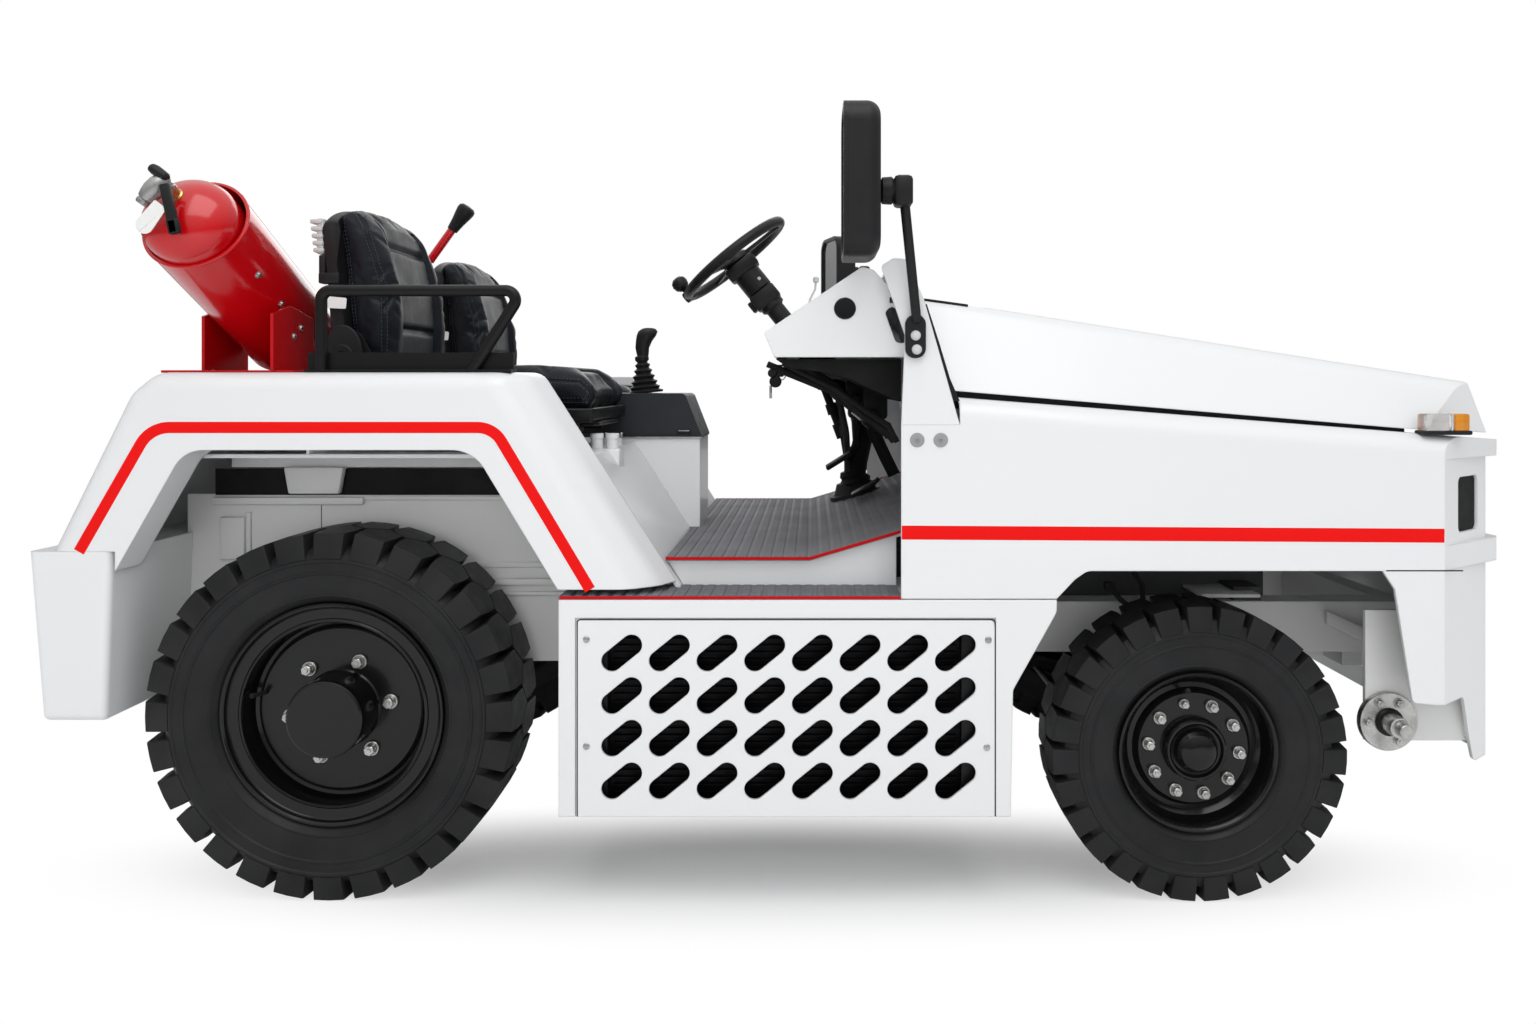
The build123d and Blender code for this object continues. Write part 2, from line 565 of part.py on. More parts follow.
def side_box():
    """Right side box under the step: a hollow box, open behind its vented panel."""
    nose = [
        (BOX_REAR_X, BOX_BOTTOM_Z), (BOX_REAR_X, STEP_Z), (BOX_FRONT_X + 86, STEP_Z),
        (BOX_FRONT_X + 86, 560), (BOX_FRONT_X + 4, 414), (BOX_FRONT_X, BOX_BOTTOM_Z),
    ]
    skin = side_prism(nose, (-HALF_W, -HALF_W + PLATE), {3: 20, 4: 20})
    back = block((BOX_REAR_X, BOX_FRONT_X), (-SIDE_BOX_IN - PLATE, -SIDE_BOX_IN), (BOX_BOTTOM_Z, STEP_Z))
    floor = (BOX_BOTTOM_Z, BOX_BOTTOM_Z + PLATE)
    bottom = block((BOX_REAR_X, BOX_FRONT_X), (-HALF_W + PLATE, -SIDE_BOX_IN), floor)
    top = block((BOX_REAR_X, BOX_FRONT_X + 86), (-HALF_W, -SIDE_BOX_IN), (STEP_Z - PLATE, STEP_Z))
    ends = [block((x, x + PLATE), (-HALF_W, -SIDE_BOX_IN), (BOX_BOTTOM_Z, STEP_Z))
            for x in (BOX_REAR_X, BOX_FRONT_X - PLATE)]
    x0, x1, z0, z1 = PANEL
    hole = block((x0 - 2, x1 + 2), (-HALF_W - 1, -HALF_W + PLATE), (z0 - 2, z1 + 2))
    ledge = block((x0 - 12, x1 + 12), (-HALF_W + PLATE, -HALF_W + 2 * PLATE), (z0, z1 + 12))
    ledge -= block((x0 + 14, x1 - 14), (-HALF_W, -HALF_W + 3 * PLATE), (z0 + 22, z1 - 14))
    return skin - hole + back + bottom + top + ends + ledge


SLOT_COLUMNS = 8
SLOT_ROWS = 4
SLOT_R = 19.6
SLOT_LENGTH = 48.0          # between the centres of a slot's round ends
SLOT_TILT = 39.0
SLOT_PITCH = (89.2, 79.8)
FIRST_SLOT = (85.0, 67.0)   # from the panel's lower rear corner


def vent_panels():
    """Slotted access panels, flush in both side boxes."""
    x0, x1, z0, z1 = PANEL
    plate = side_prism([(x0, z0), (x1, z0), (x1, z1), (x0, z1)], (-HALF_W, -HALF_W + PLATE), {2: 14, 3: 14})
    for column in range(SLOT_COLUMNS):
        for row in range(SLOT_ROWS):
            x = x0 + FIRST_SLOT[0] + column * SLOT_PITCH[0]
            z = z0 + FIRST_SLOT[1] + row * SLOT_PITCH[1]
            outline = Rot(0, 0, SLOT_TILT) * SlotCenterToCenter(SLOT_LENGTH, 2 * SLOT_R)
            slot = Pos(x, 0, z) * (Plane.XZ * outline)
            plate -= Pos(0, -HALF_W + 10, 0) * extrude(slot, 20)
    return both(plate)


def cooler_packs():
    """Finned cooler packs behind the vented panels."""
    x0, x1, z0, z1 = PANEL
    pack = block((x0 + 18, x1 - 18), (SIDE_BOX_IN + PLATE, HALF_W - 45),
                 (BOX_BOTTOM_Z + PLATE, z1 - 4))
    return both(pack)


# ---------------------------------------------------------------- front body
LIP_LOW_Z = 683.0
LIP_HIGH_Z = 845.0
SHOULDER_R = 38.0
HOOD_HALF_W = HALF_W - 42.0
HINGE_PIN_R = 5.0
HINGE_EYE_R = 10.0
HINGE_Y = (290.0, 300.0, 322.0, 332.0)      # faces of the two lugs
CORNER_HALF_W = HALF_W - 127.0


def nose_plan(set_back, inset):
    """Plan outline of the front body; the front face set back, and every wall moved in by inset."""
    front = FRONT_X - set_back - inset
    half = HALF_W - inset
    corner = CORNER_HALF_W - 0.5 * inset
    return [
        (BODY_REAR_X - 1, half), (CORNER_X - 0.35 * inset, half), (front - 12, corner),
        (front, corner - 18), (front, -corner + 18), (front - 12, -corner),
        (CORNER_X - 0.35 * inset, -half), (BODY_REAR_X - 1, -half),
    ]


def nose_block(inset, bottom):
    """Front body as one block up to the hood joint, its lips standing out above and below."""
    low = plan_prism(nose_plan(0, inset), (bottom, LIP_LOW_Z - inset))
    band = plan_prism(nose_plan(22, inset), (LIP_LOW_Z - inset, LIP_HIGH_Z + inset))
    high = plan_prism(nose_plan(0, inset), (LIP_HIGH_Z + inset, 1000))
    top = [
        (BODY_REAR_X, bottom), (BODY_REAR_X, hood_line(BODY_REAR_X) - inset),
        (FRONT_X + 1, hood_line(FRONT_X + 1) - inset), (FRONT_X + 1, bottom),
    ]
    return (low + band + high) & side_prism(top, (-HALF_W, HALF_W))


def rounded_nose(inset, bottom):
    """The front body's block with its top side edges rounded."""
    body = nose_block(inset, bottom)
    shoulders = [
        edge for edge in body.edges()
        if abs(abs(edge.center().Y) - HALF_W + inset) < 0.5 and edge.center().Z > LIP_HIGH_Z + 40
        and edge.length > 200
    ]
    return fillet(shoulders, SHOULDER_R - inset)


def front_body():
    """Front body: sides with open wheel arches, faceted corners, lips and front face."""
    outer = rounded_nose(0, STEP_Z + 2)
    inner = rounded_nose(PLATE, STEP_Z - 20)
    opening = plan_prism(nose_plan(22, 62), (LIP_HIGH_Z, 1100))
    body = outer - inner - opening
    arch = side_prism([
        (BOX_FRONT_X + 86, STEP_Z - 10), (BOX_FRONT_X + 86, STEP_Z + 2), (BOX_FRONT_X + 120, SKIRT_Z - 16),
        (BOX_FRONT_X + 143, SKIRT_Z), (FRONT_X + 5, SKIRT_Z), (FRONT_X + 5, STEP_Z - 10),
    ], (-HALF_W - 1, HALF_W + 1), {2: 30, 3: 25})
    post_notch = both(block((BODY_REAR_X - 2, POST_FRONT_X), (HALF_W - 70, HALF_W + 1), (POST_FOOT_Z, 1100)))
    lamp_holes = [
        block((FRONT_X - 40, FRONT_X + 5), (y - LAMP_HALF_W, y + LAMP_HALF_W), LAMP_Z)
        for y in (-LAMP_Y, LAMP_Y)
    ]
    grille_hole = block((FRONT_X - 40, FRONT_X + 5), (-GRILLE_HALF_W, GRILLE_HALF_W), LAMP_Z)
    body = body - arch - post_notch - lamp_holes - grille_hole - both(corner_vent(20))
    return body + hinge_lugs()


POST_FOOT_Z = 910.0
LAMP_Y = 370.0
LAMP_HALF_W = 78.0
LAMP_Z = (700.0, 812.0)
GRILLE_HALF_W = 235.0


def corner_plane():
    """Plane on the left front corner's face, its X along the corner and its Y upward."""
    start = Vector(CORNER_X, HALF_W, 0)
    end = Vector(FRONT_X - 34, CORNER_HALF_W, 0)
    along = (end - start).normalized()
    middle = start + (end - start) * 0.56
    centre = Vector(middle.X, middle.Y, sum(LAMP_Z) / 2)
    return Plane(origin=centre, x_dir=along, z_dir=Vector(-along.Y, along.X, 0))


def corner_vent(depth):
    """Opening of the left corner's vent, as deep as given on both sides of the face."""
    return corner_plane() * extrude(RectangleRounded(98, 106, 12), depth, both=True)


def corner_vents():
    """Black louvred inserts, seated behind the walls of the front corners."""
    insert = corner_plane() * Pos(0, 0, -PLATE - 7) * extrude(RectangleRounded(112, 120, 12), PLATE + 7)
    return both(insert & nose_block(PLATE, STEP_Z))


def headlamps():
    """Rectangular headlamps, set back in the front face."""
    face = FRONT_X - 22
    lamp = block((face - 46, face - 8), (LAMP_Y - LAMP_HALF_W, LAMP_Y + LAMP_HALF_W), LAMP_Z)
    rim_plate = block((face - 12, face - PLATE), (LAMP_Y - LAMP_HALF_W - 8, LAMP_Y + LAMP_HALF_W + 8),
                      (LAMP_Z[0] - 8, LAMP_Z[1] + 8))
    return both(lamp + rim_plate)


def front_grilles():
    """Slatted grille between the headlamps, and the vents in the corners."""
    face = FRONT_X - 22
    body = block((face - 16, face - PLATE), (-GRILLE_HALF_W - 8, GRILLE_HALF_W + 8),
                 (LAMP_Z[0] - 8, LAMP_Z[1] + 8))
    count = 6
    pitch = (LAMP_Z[1] - LAMP_Z[0]) / count
    for number in range(count):
        z = LAMP_Z[0] + (number + 0.5) * pitch
        body -= block((face - 20, face), (-GRILLE_HALF_W + 6, GRILLE_HALF_W - 6), (z - 5, z + 5))
    return body + corner_vents()


APRON_WALL = 8.0
APRON_BOTTOM_Z = 250.0
JAW_HALF_W = 48.0
JAW_Z = (305.0, 383.0)
JAW_X = FRONT_X - 30
JAW_PIN_R = 12.0


def apron_inside():
    """Space behind the front apron's plate."""
    return plan_prism(nose_plan(22, APRON_WALL), (APRON_BOTTOM_Z - 1, SKIRT_Z + 1))


def front_apron():
    """Bent plate below the front body, open to the rear, with a lower tongue in front."""
    bottom = APRON_BOTTOM_Z
    outer = plan_prism(nose_plan(22, 0), (bottom, SKIRT_Z))
    profile = [
        (CORNER_X - 116, SKIRT_Z), (CORNER_X - 93, 602), (CORNER_X - 60, 390), (CORNER_X - 15, 386),
        (FRONT_X - 120, 386), (FRONT_X - 98, 300), (FRONT_X - 80, bottom), (FRONT_X, bottom),
        (FRONT_X, SKIRT_Z),
    ]
    keep = side_prism(profile, (-HALF_W, HALF_W), {2: 10, 4: 12, 6: 15})
    jaw_hole = block((FRONT_X - 60, FRONT_X), (-JAW_HALF_W - 8, JAW_HALF_W + 8),
                     (JAW_Z[0] - 8, RAIL_TOP_Z - 30))
    return ((outer - apron_inside()) & keep) - jaw_hole


def front_tow_points():
    """Tow jaw through the middle of the apron, and the lashing stubs behind its corners."""
    rear = FRONT_X - 86
    jaw = both(block((rear, FRONT_X - 36), (JAW_HALF_W - 10, JAW_HALF_W), (JAW_Z[0], RAIL_BOTTOM_Z + 5)))
    jaw += block((rear, rear + 12), (-JAW_HALF_W, JAW_HALF_W), (JAW_Z[0], RAIL_BOTTOM_Z + 5))
    for z in (JAW_Z[0], JAW_Z[1] - 14):
        jaw += block((rear, FRONT_X - 4), (-JAW_HALF_W, JAW_HALF_W), (z, z + 14))
    jaw -= rod((JAW_X, 0, 200), (JAW_X, 0, 390), JAW_PIN_R)
    return jaw + lashing_stubs()


def lashing_stubs():
    """Lashing stubs: bracket plate, bolted flange and stub on each side."""
    x = CORNER_X - 62
    z = 330.0
    y = HALF_W - 102
    bracket = side_prism([
        (x - 40, 290), (x - 40, 545), (FRONT_X, 545), (FRONT_X, 290),
    ], (y, y + 10)) & apron_inside()
    link = block((FRONT_X - 100, FRONT_X - 88), (y - 60, HALF_W), (300, 545)) & apron_inside()
    flange = disc_y(x, z, 56, (y + 10, y + 22))
    stub = disc_y(x, z, 19, (y + 22, y + 66)) + disc_y(x, z, 13, (y + 66, y + 86))
    return both(bracket + link + flange + stub)


# ---------------------------------------------------------------- hood, cowl and dash
def hood_block(inset):
    """Hood as one block: a falling top, leaning sides and a slanted front."""
    outline = [
        (HOOD_REAR_X + 54 + inset, hood_line(HOOD_REAR_X + 54) + 12),
        (HOOD_REAR_X + inset, 1162 - inset),
        (FRONT_X - 80 - inset, 992 - inset),
        (FRONT_X - 24 - inset, 890),
        (CORNER_X - 50, hood_line(CORNER_X - 50) + 7),
    ]
    body = side_prism(outline, (-HALF_W, HALF_W))
    half = HOOD_HALF_W - inset * 1.12
    lean = Plane(origin=(HOOD_REAR_X + 54, half, 962), z_dir=(0.0456, 1, 0.4974))
    outside = lean * Pos(0, 0, 200) * Box(4000, 4000, 400)
    return body - both(outside)


def rounded_hood(inset):
    """The hood's block with its long top edges rounded and its front corners turned in."""
    body = hood_block(inset)
    half = HOOD_HALF_W - inset * 1.12
    plan = [(HOOD_REAR_X - 10, half), (CORNER_X - 20, half - 4), (FRONT_X, half - 110),
            (FRONT_X, -half + 110), (CORNER_X - 20, -half + 4), (HOOD_REAR_X - 10, -half)]
    long_edges = [
        edge for edge in body.edges()
        if abs(edge.tangent_at(0.5).X) > 0.9 and edge.center().Z > 1000 and abs(edge.center().Y) > 300
    ]
    return fillet(long_edges, 40 - inset) & plan_prism(plan, (800, 1300))


def hinge_z():
    """Height of the hood's hinge axis over the front lip."""
    return hood_line(HINGE_X) + HINGE_EYE_R + SWING_GAP + 1


def hinge_lugs():
    """Two lugs each side with the hinge pin between them, standing on the front lip."""
    foot = hood_line(HINGE_X) - 3
    body = rod((HINGE_X, HINGE_Y[0], hinge_z()), (HINGE_X, HINGE_Y[3], hinge_z()), HINGE_PIN_R)
    for y in (HINGE_Y[:2], HINGE_Y[2:]):
        body += block((HINGE_X - 8, HINGE_X + 8), y, (foot, hinge_z()))
        body += rod((HINGE_X, y[0], hinge_z()), (HINGE_X, y[1], hinge_z()), 8)
    return both(body)


def hinge_straps():
    """Straps from the hood's front face to eyes round the hinge pins."""
    z = hinge_z()
    y = (HINGE_Y[1] + SWING_GAP, HINGE_Y[2] - SWING_GAP)
    strap = side_prism([
        (HINGE_X, z - HINGE_EYE_R + 1), (HINGE_X, z + HINGE_EYE_R - 1),
        (FRONT_X - 42, 917), (FRONT_X - 29, 891.5),
    ], y)
    strap += rod((HINGE_X, y[0], z), (HINGE_X, y[1], z), HINGE_EYE_R)
    return both(strap - rod((HINGE_X, 0, z), (HINGE_X, HALF_W, z), HINGE_PIN_R + SPIN_FIT))


def hood():
    """Hood shell, open below, with its two hinge straps at the front."""
    return rounded_hood(0) - hood_cavity() + hinge_straps()


def hood_cavity():
    """Inside of the hood, drawn down through its lower edge."""
    body = rounded_hood(HOOD_WALL)
    skirt = Pos(0, 0, -30) * (body & block((0, 3000), (-HALF_W, HALF_W), (800, 990)))
    return body + skirt


def cowl():
    """Cowl between the dash and the hood: posts, sloped sheet, dash flange and firewall."""
    post = [
        (BODY_REAR_X - 38, 1208), (BODY_REAR_X - 15, 1222), (BODY_REAR_X + 9, 1221),
        (BODY_REAR_X + 43, 1144), (POST_FRONT_X, POST_FOOT_Z), (BODY_REAR_X, POST_FOOT_Z),
        (BODY_REAR_X + 7, 1078),
    ]
    body = both(side_prism(post, (HALF_W - 8, HALF_W), {0: 8, 1: 8, 2: 12}))
    slope = (POST_FRONT_X - BODY_REAR_X - 43) / (1144 - POST_FOOT_Z)
    sheet = [
        (BODY_REAR_X - 15, 1222), (BODY_REAR_X + 9, 1221), (BODY_REAR_X + 43, 1144),
        (POST_FRONT_X, POST_FOOT_Z), (POST_FRONT_X, POST_FOOT_Z - 12),
        (POST_FRONT_X - PLATE, POST_FOOT_Z - 12), (POST_FRONT_X - PLATE, POST_FOOT_Z),
        (BODY_REAR_X + 43 - PLATE, 1144 - slope), (BODY_REAR_X + 9 - 4, 1215), (BODY_REAR_X - 15, 1216),
    ]
    body += side_prism(sheet, (-HALF_W + 8, HALF_W - 8))
    body += block((DASH_FRONT_X, DASH_FRONT_X + PLATE), (-HALF_W + 8, HALF_W - 8), (1045, 1142))
    foot = ramp_top(FIREWALL_X)
    body += block((FIREWALL_X, POST_FRONT_X), (-HALF_W + 8, HALF_W - 8), (foot - 40, POST_FOOT_Z))
    return body


DASH_FRONT_X = BODY_REAR_X + 11.0
DASH_HALF_W = HALF_W - 42.0


def dash_outline(inset):
    """Side outline of the dash, every face moved in by inset."""
    return [
        (DASH_FRONT_X - 270 + 1.6 * inset, 1085 - 0.4 * inset), (DASH_FRONT_X - 250 + 1.2 * inset, 1039 - 1),
        (DASH_FRONT_X, 1039 - 1), (DASH_FRONT_X, 1142 - 0.4 * inset),
        (DASH_FRONT_X - 61, 1205 - 1.2 * inset), (DASH_FRONT_X - 82, 1211 - 1.2 * inset),
    ]


def dash_panel():
    """Dash: a sloped hollow box across the body, open below, with a hole for the column."""
    outer = side_prism(dash_outline(0), (-DASH_HALF_W, DASH_HALF_W), {0: 6, 5: 12})
    inner = side_prism(dash_outline(4), (-DASH_HALF_W + 4, DASH_HALF_W - 4))
    inner &= block((-5000, DASH_FRONT_X - 4), (-HALF_W, HALF_W), (1000, 1300))
    column = rod(COLUMN_TOP, COLUMN_TOP + COLUMN_DIR * 600, COLUMN_R)
    return outer - inner - column


COLUMN_R = 26.0
COLUMN_GAP = 34.0


def steering_column():
    """Column tube with its switch housing, and the steering unit below the dash."""
    top = COLUMN_TOP + COLUMN_DIR * COLUMN_GAP
    body = rod(top, COLUMN_TOP + COLUMN_DIR * 330, COLUMN_R)
    body += rod(COLUMN_TOP + COLUMN_DIR * 46, COLUMN_TOP + COLUMN_DIR * 110, 38)
    body += rod(COLUMN_TOP + COLUMN_DIR * 325, COLUMN_TOP + COLUMN_DIR * 420, 44)
    shaft = rod(COLUMN_TOP, COLUMN_TOP + COLUMN_DIR * 115, SHAFT_R + SPIN_FIT)
    return body - shaft


SHAFT_R = 9.0


def steering_wheel():
    """Steering wheel: rim, three spokes, hub, shaft and spinner knob."""
    frame = Plane(origin=COLUMN_TOP, x_dir=(0, 1, 0), z_dir=-COLUMN_DIR)
    body = Pos(0, 0, -14) * Cylinder(34, 30)
    for angle in (30, 150, 270):
        body += Rot(0, 0, angle) * Pos(STEERING_WHEEL_R / 2, 0, -6) * Box(STEERING_WHEEL_R, 22, 9)
    body += Pos(0, 0, -65) * Cylinder(SHAFT_R, 100)
    body += revolve(Plane.XZ * Pos(STEERING_WHEEL_R, 0) * Circle(12.5), Axis.Z)
    knob = Rot(0, 0, 90) * Pos(STEERING_WHEEL_R, 0, 0)
    body += knob * (Pos(0, 0, 22) * Cylinder(5, 44) + Pos(0, 0, 46) * Sphere(20))
    return frame * body


BOOT = Vector(BODY_REAR_X - 60, SEAT_Y, 0)


def column_boot():
    """Rubber boot on the ramp, which the steering hoses enter."""
    lift = ramp_top(BOOT.X) + MAT
    tilt = Pos(BOOT.X, BOOT.Y, lift) * Rot(0, -RAMP_ANGLE, 0)
    return tilt * (Pos(0, 0, 6) * Cylinder(58, 12) + Pos(0, 0, 26) * Cone(46, 30, 30))


HOSE_R = 9.0
HOSES = (            # start across, start along, end across, end along, bow
    (-18.0, -14.0, -12.0, -10.0, -34.0),
    (18.0, -14.0, 12.0, -10.0, -52.0),
    (-20.0, 16.0, -14.0, 12.0, 30.0),
    (20.0, 16.0, 14.0, 12.0, 44.0),
)


def steering_hoses():
    """Four hoses from the steering unit down to the boot."""
    unit = COLUMN_TOP + COLUMN_DIR * 420
    foot_z = ramp_top(BOOT.X) + MAT + 40
    group = Part()
    for across, along, end_across, end_along, bow in HOSES:
        start = unit + Vector(along * 0.777, across, along * 0.63)
        leave = start + COLUMN_DIR * 50
        middle = Vector((unit.X + BOOT.X) / 2 + 30 + bow / 2, SEAT_Y + across + bow, (start.Z + foot_z) / 2)
        arrive = Vector(BOOT.X + end_along, SEAT_Y + end_across, foot_z + 55)
        end = Vector(BOOT.X + end_along, SEAT_Y + end_across, foot_z)
        path = FilletPolyline(start, leave, middle, arrive, end, radius=36)
        section = Plane(origin=start, z_dir=path % 0) * Circle(HOSE_R)
        group += sweep(section, path=path)
    return group + column_boot()


def pedals():
    """Accelerator treadle on the ramp, and the brake pedal on its arm from the firewall."""
    rear, front = BODY_REAR_X - 120, BODY_REAR_X + 20
    treadle = side_prism([
        (rear, ramp_top(rear) + MAT), (front, ramp_top(front) + MAT),
        (front, ramp_top(front) + MAT + 62), (rear, ramp_top(rear) + MAT + 8),
    ], (SEAT_Y - 190, SEAT_Y - 130))
    pad_x = BODY_REAR_X - 30
    pad = Pos(pad_x, SEAT_Y - 80, 800) * Rot(0, -35, 0) * Box(12, 74, 60)
    arm = rod((pad_x, SEAT_Y - 80, 800), (FIREWALL_X + 20, SEAT_Y - 80, 884), 8)
    arm &= block((pad_x - 50, FIREWALL_X), (0, HALF_W), (700, 1000))
    return treadle + (pad + arm)


# ---------------------------------------------------------------- mirrors, rails and lamps
MIRROR_Y = HALF_W + 85.0
MIRROR_HALF_W = 85.0
MIRROR_FACE_X = FRONT_AXLE_X - 677.0
MIRROR_T = 58.0
MIRROR_Z = (1209.0, 1482.0)
LEFT_MIRROR_DROP = 37.0
LEFT_MIRROR_TURN = 17.0
ARM_X = FRONT_AXLE_X - 572.0


def mirrors():
    """Two large mirrors with rounded housings, facing the rear, on their arms."""
    housing = block((MIRROR_FACE_X, MIRROR_FACE_X + MIRROR_T),
                    (MIRROR_Y - MIRROR_HALF_W, MIRROR_Y + MIRROR_HALF_W), MIRROR_Z)
    housing = fillet(housing.edges().filter_by(Axis.X), 40)
    housing = fillet(housing.faces().sort_by(Axis.X)[-1].edges(), 24)
    hinge = Pos(MIRROR_FACE_X + MIRROR_T, MIRROR_Y, 0)
    turned_in = hinge * Rot(0, 0, LEFT_MIRROR_TURN) * hinge.inverse() * housing
    left = Pos(-6, -8, -LEFT_MIRROR_DROP) * turned_in + mirror_arm()
    return left + mirror(housing + mirror_arm(), about=Plane.XZ)


def mirror_arm():
    """Left mirror arm: bracket on the cowl post, rod and ball joint."""
    ball_z = 1333.0
    foot = block((ARM_X + 7, ARM_X + 45), (HALF_W, HALF_W + 12), (1035, 1116))
    foot = fillet(foot.edges().filter_by(Axis.Y), 18)
    start = (ARM_X + 28, HALF_W + 10, 1104)
    top = (ARM_X - 3, MIRROR_Y, ball_z)
    arm = rod(start, top, 9) + Pos(*top) * Cylinder(17, 44)
    neck = rod((MIRROR_FACE_X + MIRROR_T - 14, MIRROR_Y, ball_z), top, 13)
    return foot + arm + neck


RAIL_Y = HALF_W - 40.0
GUARD_REAR_X = REAR_AXLE_X - 14.0
GUARD_FRONT_X = REAR_AXLE_X + 371.0


def guard_rail():
    """Guard rail on the right fender's top: a foot plate and one bent tube."""
    foot = block((GUARD_REAR_X - 29, REAR_AXLE_X + 350), (RAIL_Y - 18, RAIL_Y - 8), (DECK_Z, DECK_Z + 38))
    foot += block((GUARD_REAR_X - 29, REAR_AXLE_X + 350), (RAIL_Y - 30, RAIL_Y + 10), (DECK_Z, DECK_Z + 5))
    route = [
        (GUARD_REAR_X, RAIL_Y, DECK_Z), (GUARD_REAR_X, RAIL_Y, 1165),
        (GUARD_FRONT_X, RAIL_Y, 1165), (REAR_AXLE_X + 268, RAIL_Y, DECK_Z - 6),
    ]
    tube = bent_tube(route, 18, 11) & block((-5000, 5000), (0, HALF_W), (DECK_Z, 2000))
    return mirror(foot + tube, about=Plane.XZ)


def indicator_lamps():
    """Indicator lamps, each on a pad on a shoulder of the front body."""
    x0 = CORNER_X - 32
    seat = hood_line(CORNER_X)
    pad = block((x0 - 5, x0 + 90), (HALF_W - 42, HALF_W - 2), (seat - 14, seat + 8))
    lens = block((x0, x0 + 83), (HALF_W - 38, HALF_W - 5), (seat + 8, seat + 40))
    lens = fillet(lens.edges().filter_by(Axis.Z), 6)
    return both(fillet(pad.edges().filter_by(Axis.Z), 6) + lens - rounded_nose(0, STEP_Z + 2))


def rear_slant_plane(share):
    """Plane on the slanted rear panel, its X across and its Y up the slant."""
    foot = Vector(REAR_SLANT_FOOT[0], 0, REAR_SLANT_FOOT[1])
    top = Vector(REAR_SLANT_TOP[0], 0, REAR_SLANT_TOP[1])
    along = (top - foot).normalized()
    return Plane(origin=foot + (top - foot) * share, x_dir=(0, -1, 0), z_dir=(-along.Z, 0, along.X))


def tail_lamps():
    """Tail lamps on the slanted rear panel."""
    lamp = rear_slant_plane(0.5) * Pos(DECK_HALF_W - 70, 0, 15) * Box(74, 150, 30)
    return both(fillet(lamp.edges().group_by(Axis.X)[0], 5))


# ---------------------------------------------------------------- extinguisher
TUBE_LENGTH = 411.0
TUBE_WALL = 4.0
TUBE_X = REAR_AXLE_X - 226.0


def tube_plane():
    """Plane at the low end of the extinguisher tube, its Z along the tube towards the mouth."""
    tilt = math.radians(EXTINGUISHER_TILT)
    along = Vector(0, -math.cos(tilt), math.sin(tilt))
    mouth_y = -HALF_W - 8
    low_z = DECK_Z + 5 + EXTINGUISHER_TUBE_R * math.cos(tilt)
    foot = Vector(TUBE_X, mouth_y + TUBE_LENGTH * math.cos(tilt), low_z)
    return Plane(origin=foot, x_dir=(1, 0, 0), z_dir=along)


def extinguisher_holder():
    """Red holder: an open tube with a rolled rim between two cradle plates on a base plate."""
    align = (Align.CENTER, Align.CENTER, Align.MIN)
    tube = Cylinder(EXTINGUISHER_TUBE_R, TUBE_LENGTH, align=align)
    tube += Pos(0, 0, TUBE_LENGTH - 3) * Torus(EXTINGUISHER_TUBE_R - 1, 3)
    tube -= Pos(0, 0, TUBE_WALL) * Cylinder(EXTINGUISHER_TUBE_R - TUBE_WALL, TUBE_LENGTH + 20, align=align)
    body = tube_plane() * tube
    deck = DECK_Z + 5
    reach = EXTINGUISHER_TUBE_R
    for x, low_y, high_y in ((TUBE_X - reach, -470, -300), (TUBE_X + reach - 6, -560, -390)):
        points = [(low_y, deck), (high_y, deck), (high_y, deck + 110), (low_y + 70, 1145), (low_y, 1125)]
        wire = make_face(Polyline(*points, close=True))
        plate = Pos(x, 0, 0) * extrude(Plane.YZ * wire, 6)
        body += plate
    base = block((TUBE_X - 130, TUBE_X + 130), (-DECK_HALF_W + 10, -230), (DECK_Z, deck))
    keep = block((-5000, 5000), (-5000, 5000), (DECK_Z, 5000))
    inside = tube_plane() * Pos(0, 0, TUBE_WALL) * Cylinder(
        EXTINGUISHER_TUBE_R - TUBE_WALL, TUBE_LENGTH + 20, align=align)
    return ((body + base) & keep) - inside


def bottle_plane():
    """Plane at the bottle's foot, dropped onto the lower wall of its tube."""
    drop = EXTINGUISHER_TUBE_R - TUBE_WALL - EXTINGUISHER_R - 0.3
    plane = tube_plane()
    down = plane.y_dir * (-1 if plane.y_dir.Z > 0 else 1)
    return Plane(origin=plane.origin + down * drop + plane.z_dir * (TUBE_WALL + 0.3),
                 x_dir=plane.x_dir, z_dir=plane.z_dir)


BOTTLE_BODY = 420.0
BOTTLE_DOME = 62.0


def bottle_shape():
    """Bottle standing at the origin: a cylinder under a flattened dome."""
    body = Cylinder(EXTINGUISHER_R, BOTTLE_BODY, align=(Align.CENTER, Align.CENTER, Align.MIN))
    return body + Pos(0, 0, BOTTLE_BODY) * scale(Sphere(1), by=(EXTINGUISHER_R, EXTINGUISHER_R, BOTTLE_DOME))


def extinguisher_bottle():
    """Extinguisher bottle with its domed shoulder."""
    return bottle_plane() * bottle_shape()


def extinguisher_valve():
    """Brass collar, valve body, grip and lever of the extinguisher."""
    top = BOTTLE_BODY + BOTTLE_DOME
    body = Pos(0, 0, top + 3) * Cylinder(21, 14)
    body += Pos(0, 0, top + 26) * Cylinder(14, 34)
    body += Pos(0, 12, top + 34) * Box(20, 62, 16)
    body += Pos(0, 42, top + 16) * Rot(28, 0, 0) * Box(16, 10, 74)
    body += Pos(0, 40, top + 50) * Rot(-10, 0, 0) * Box(18, 92, 16)
    return bottle_plane() * (body - bottle_shape())


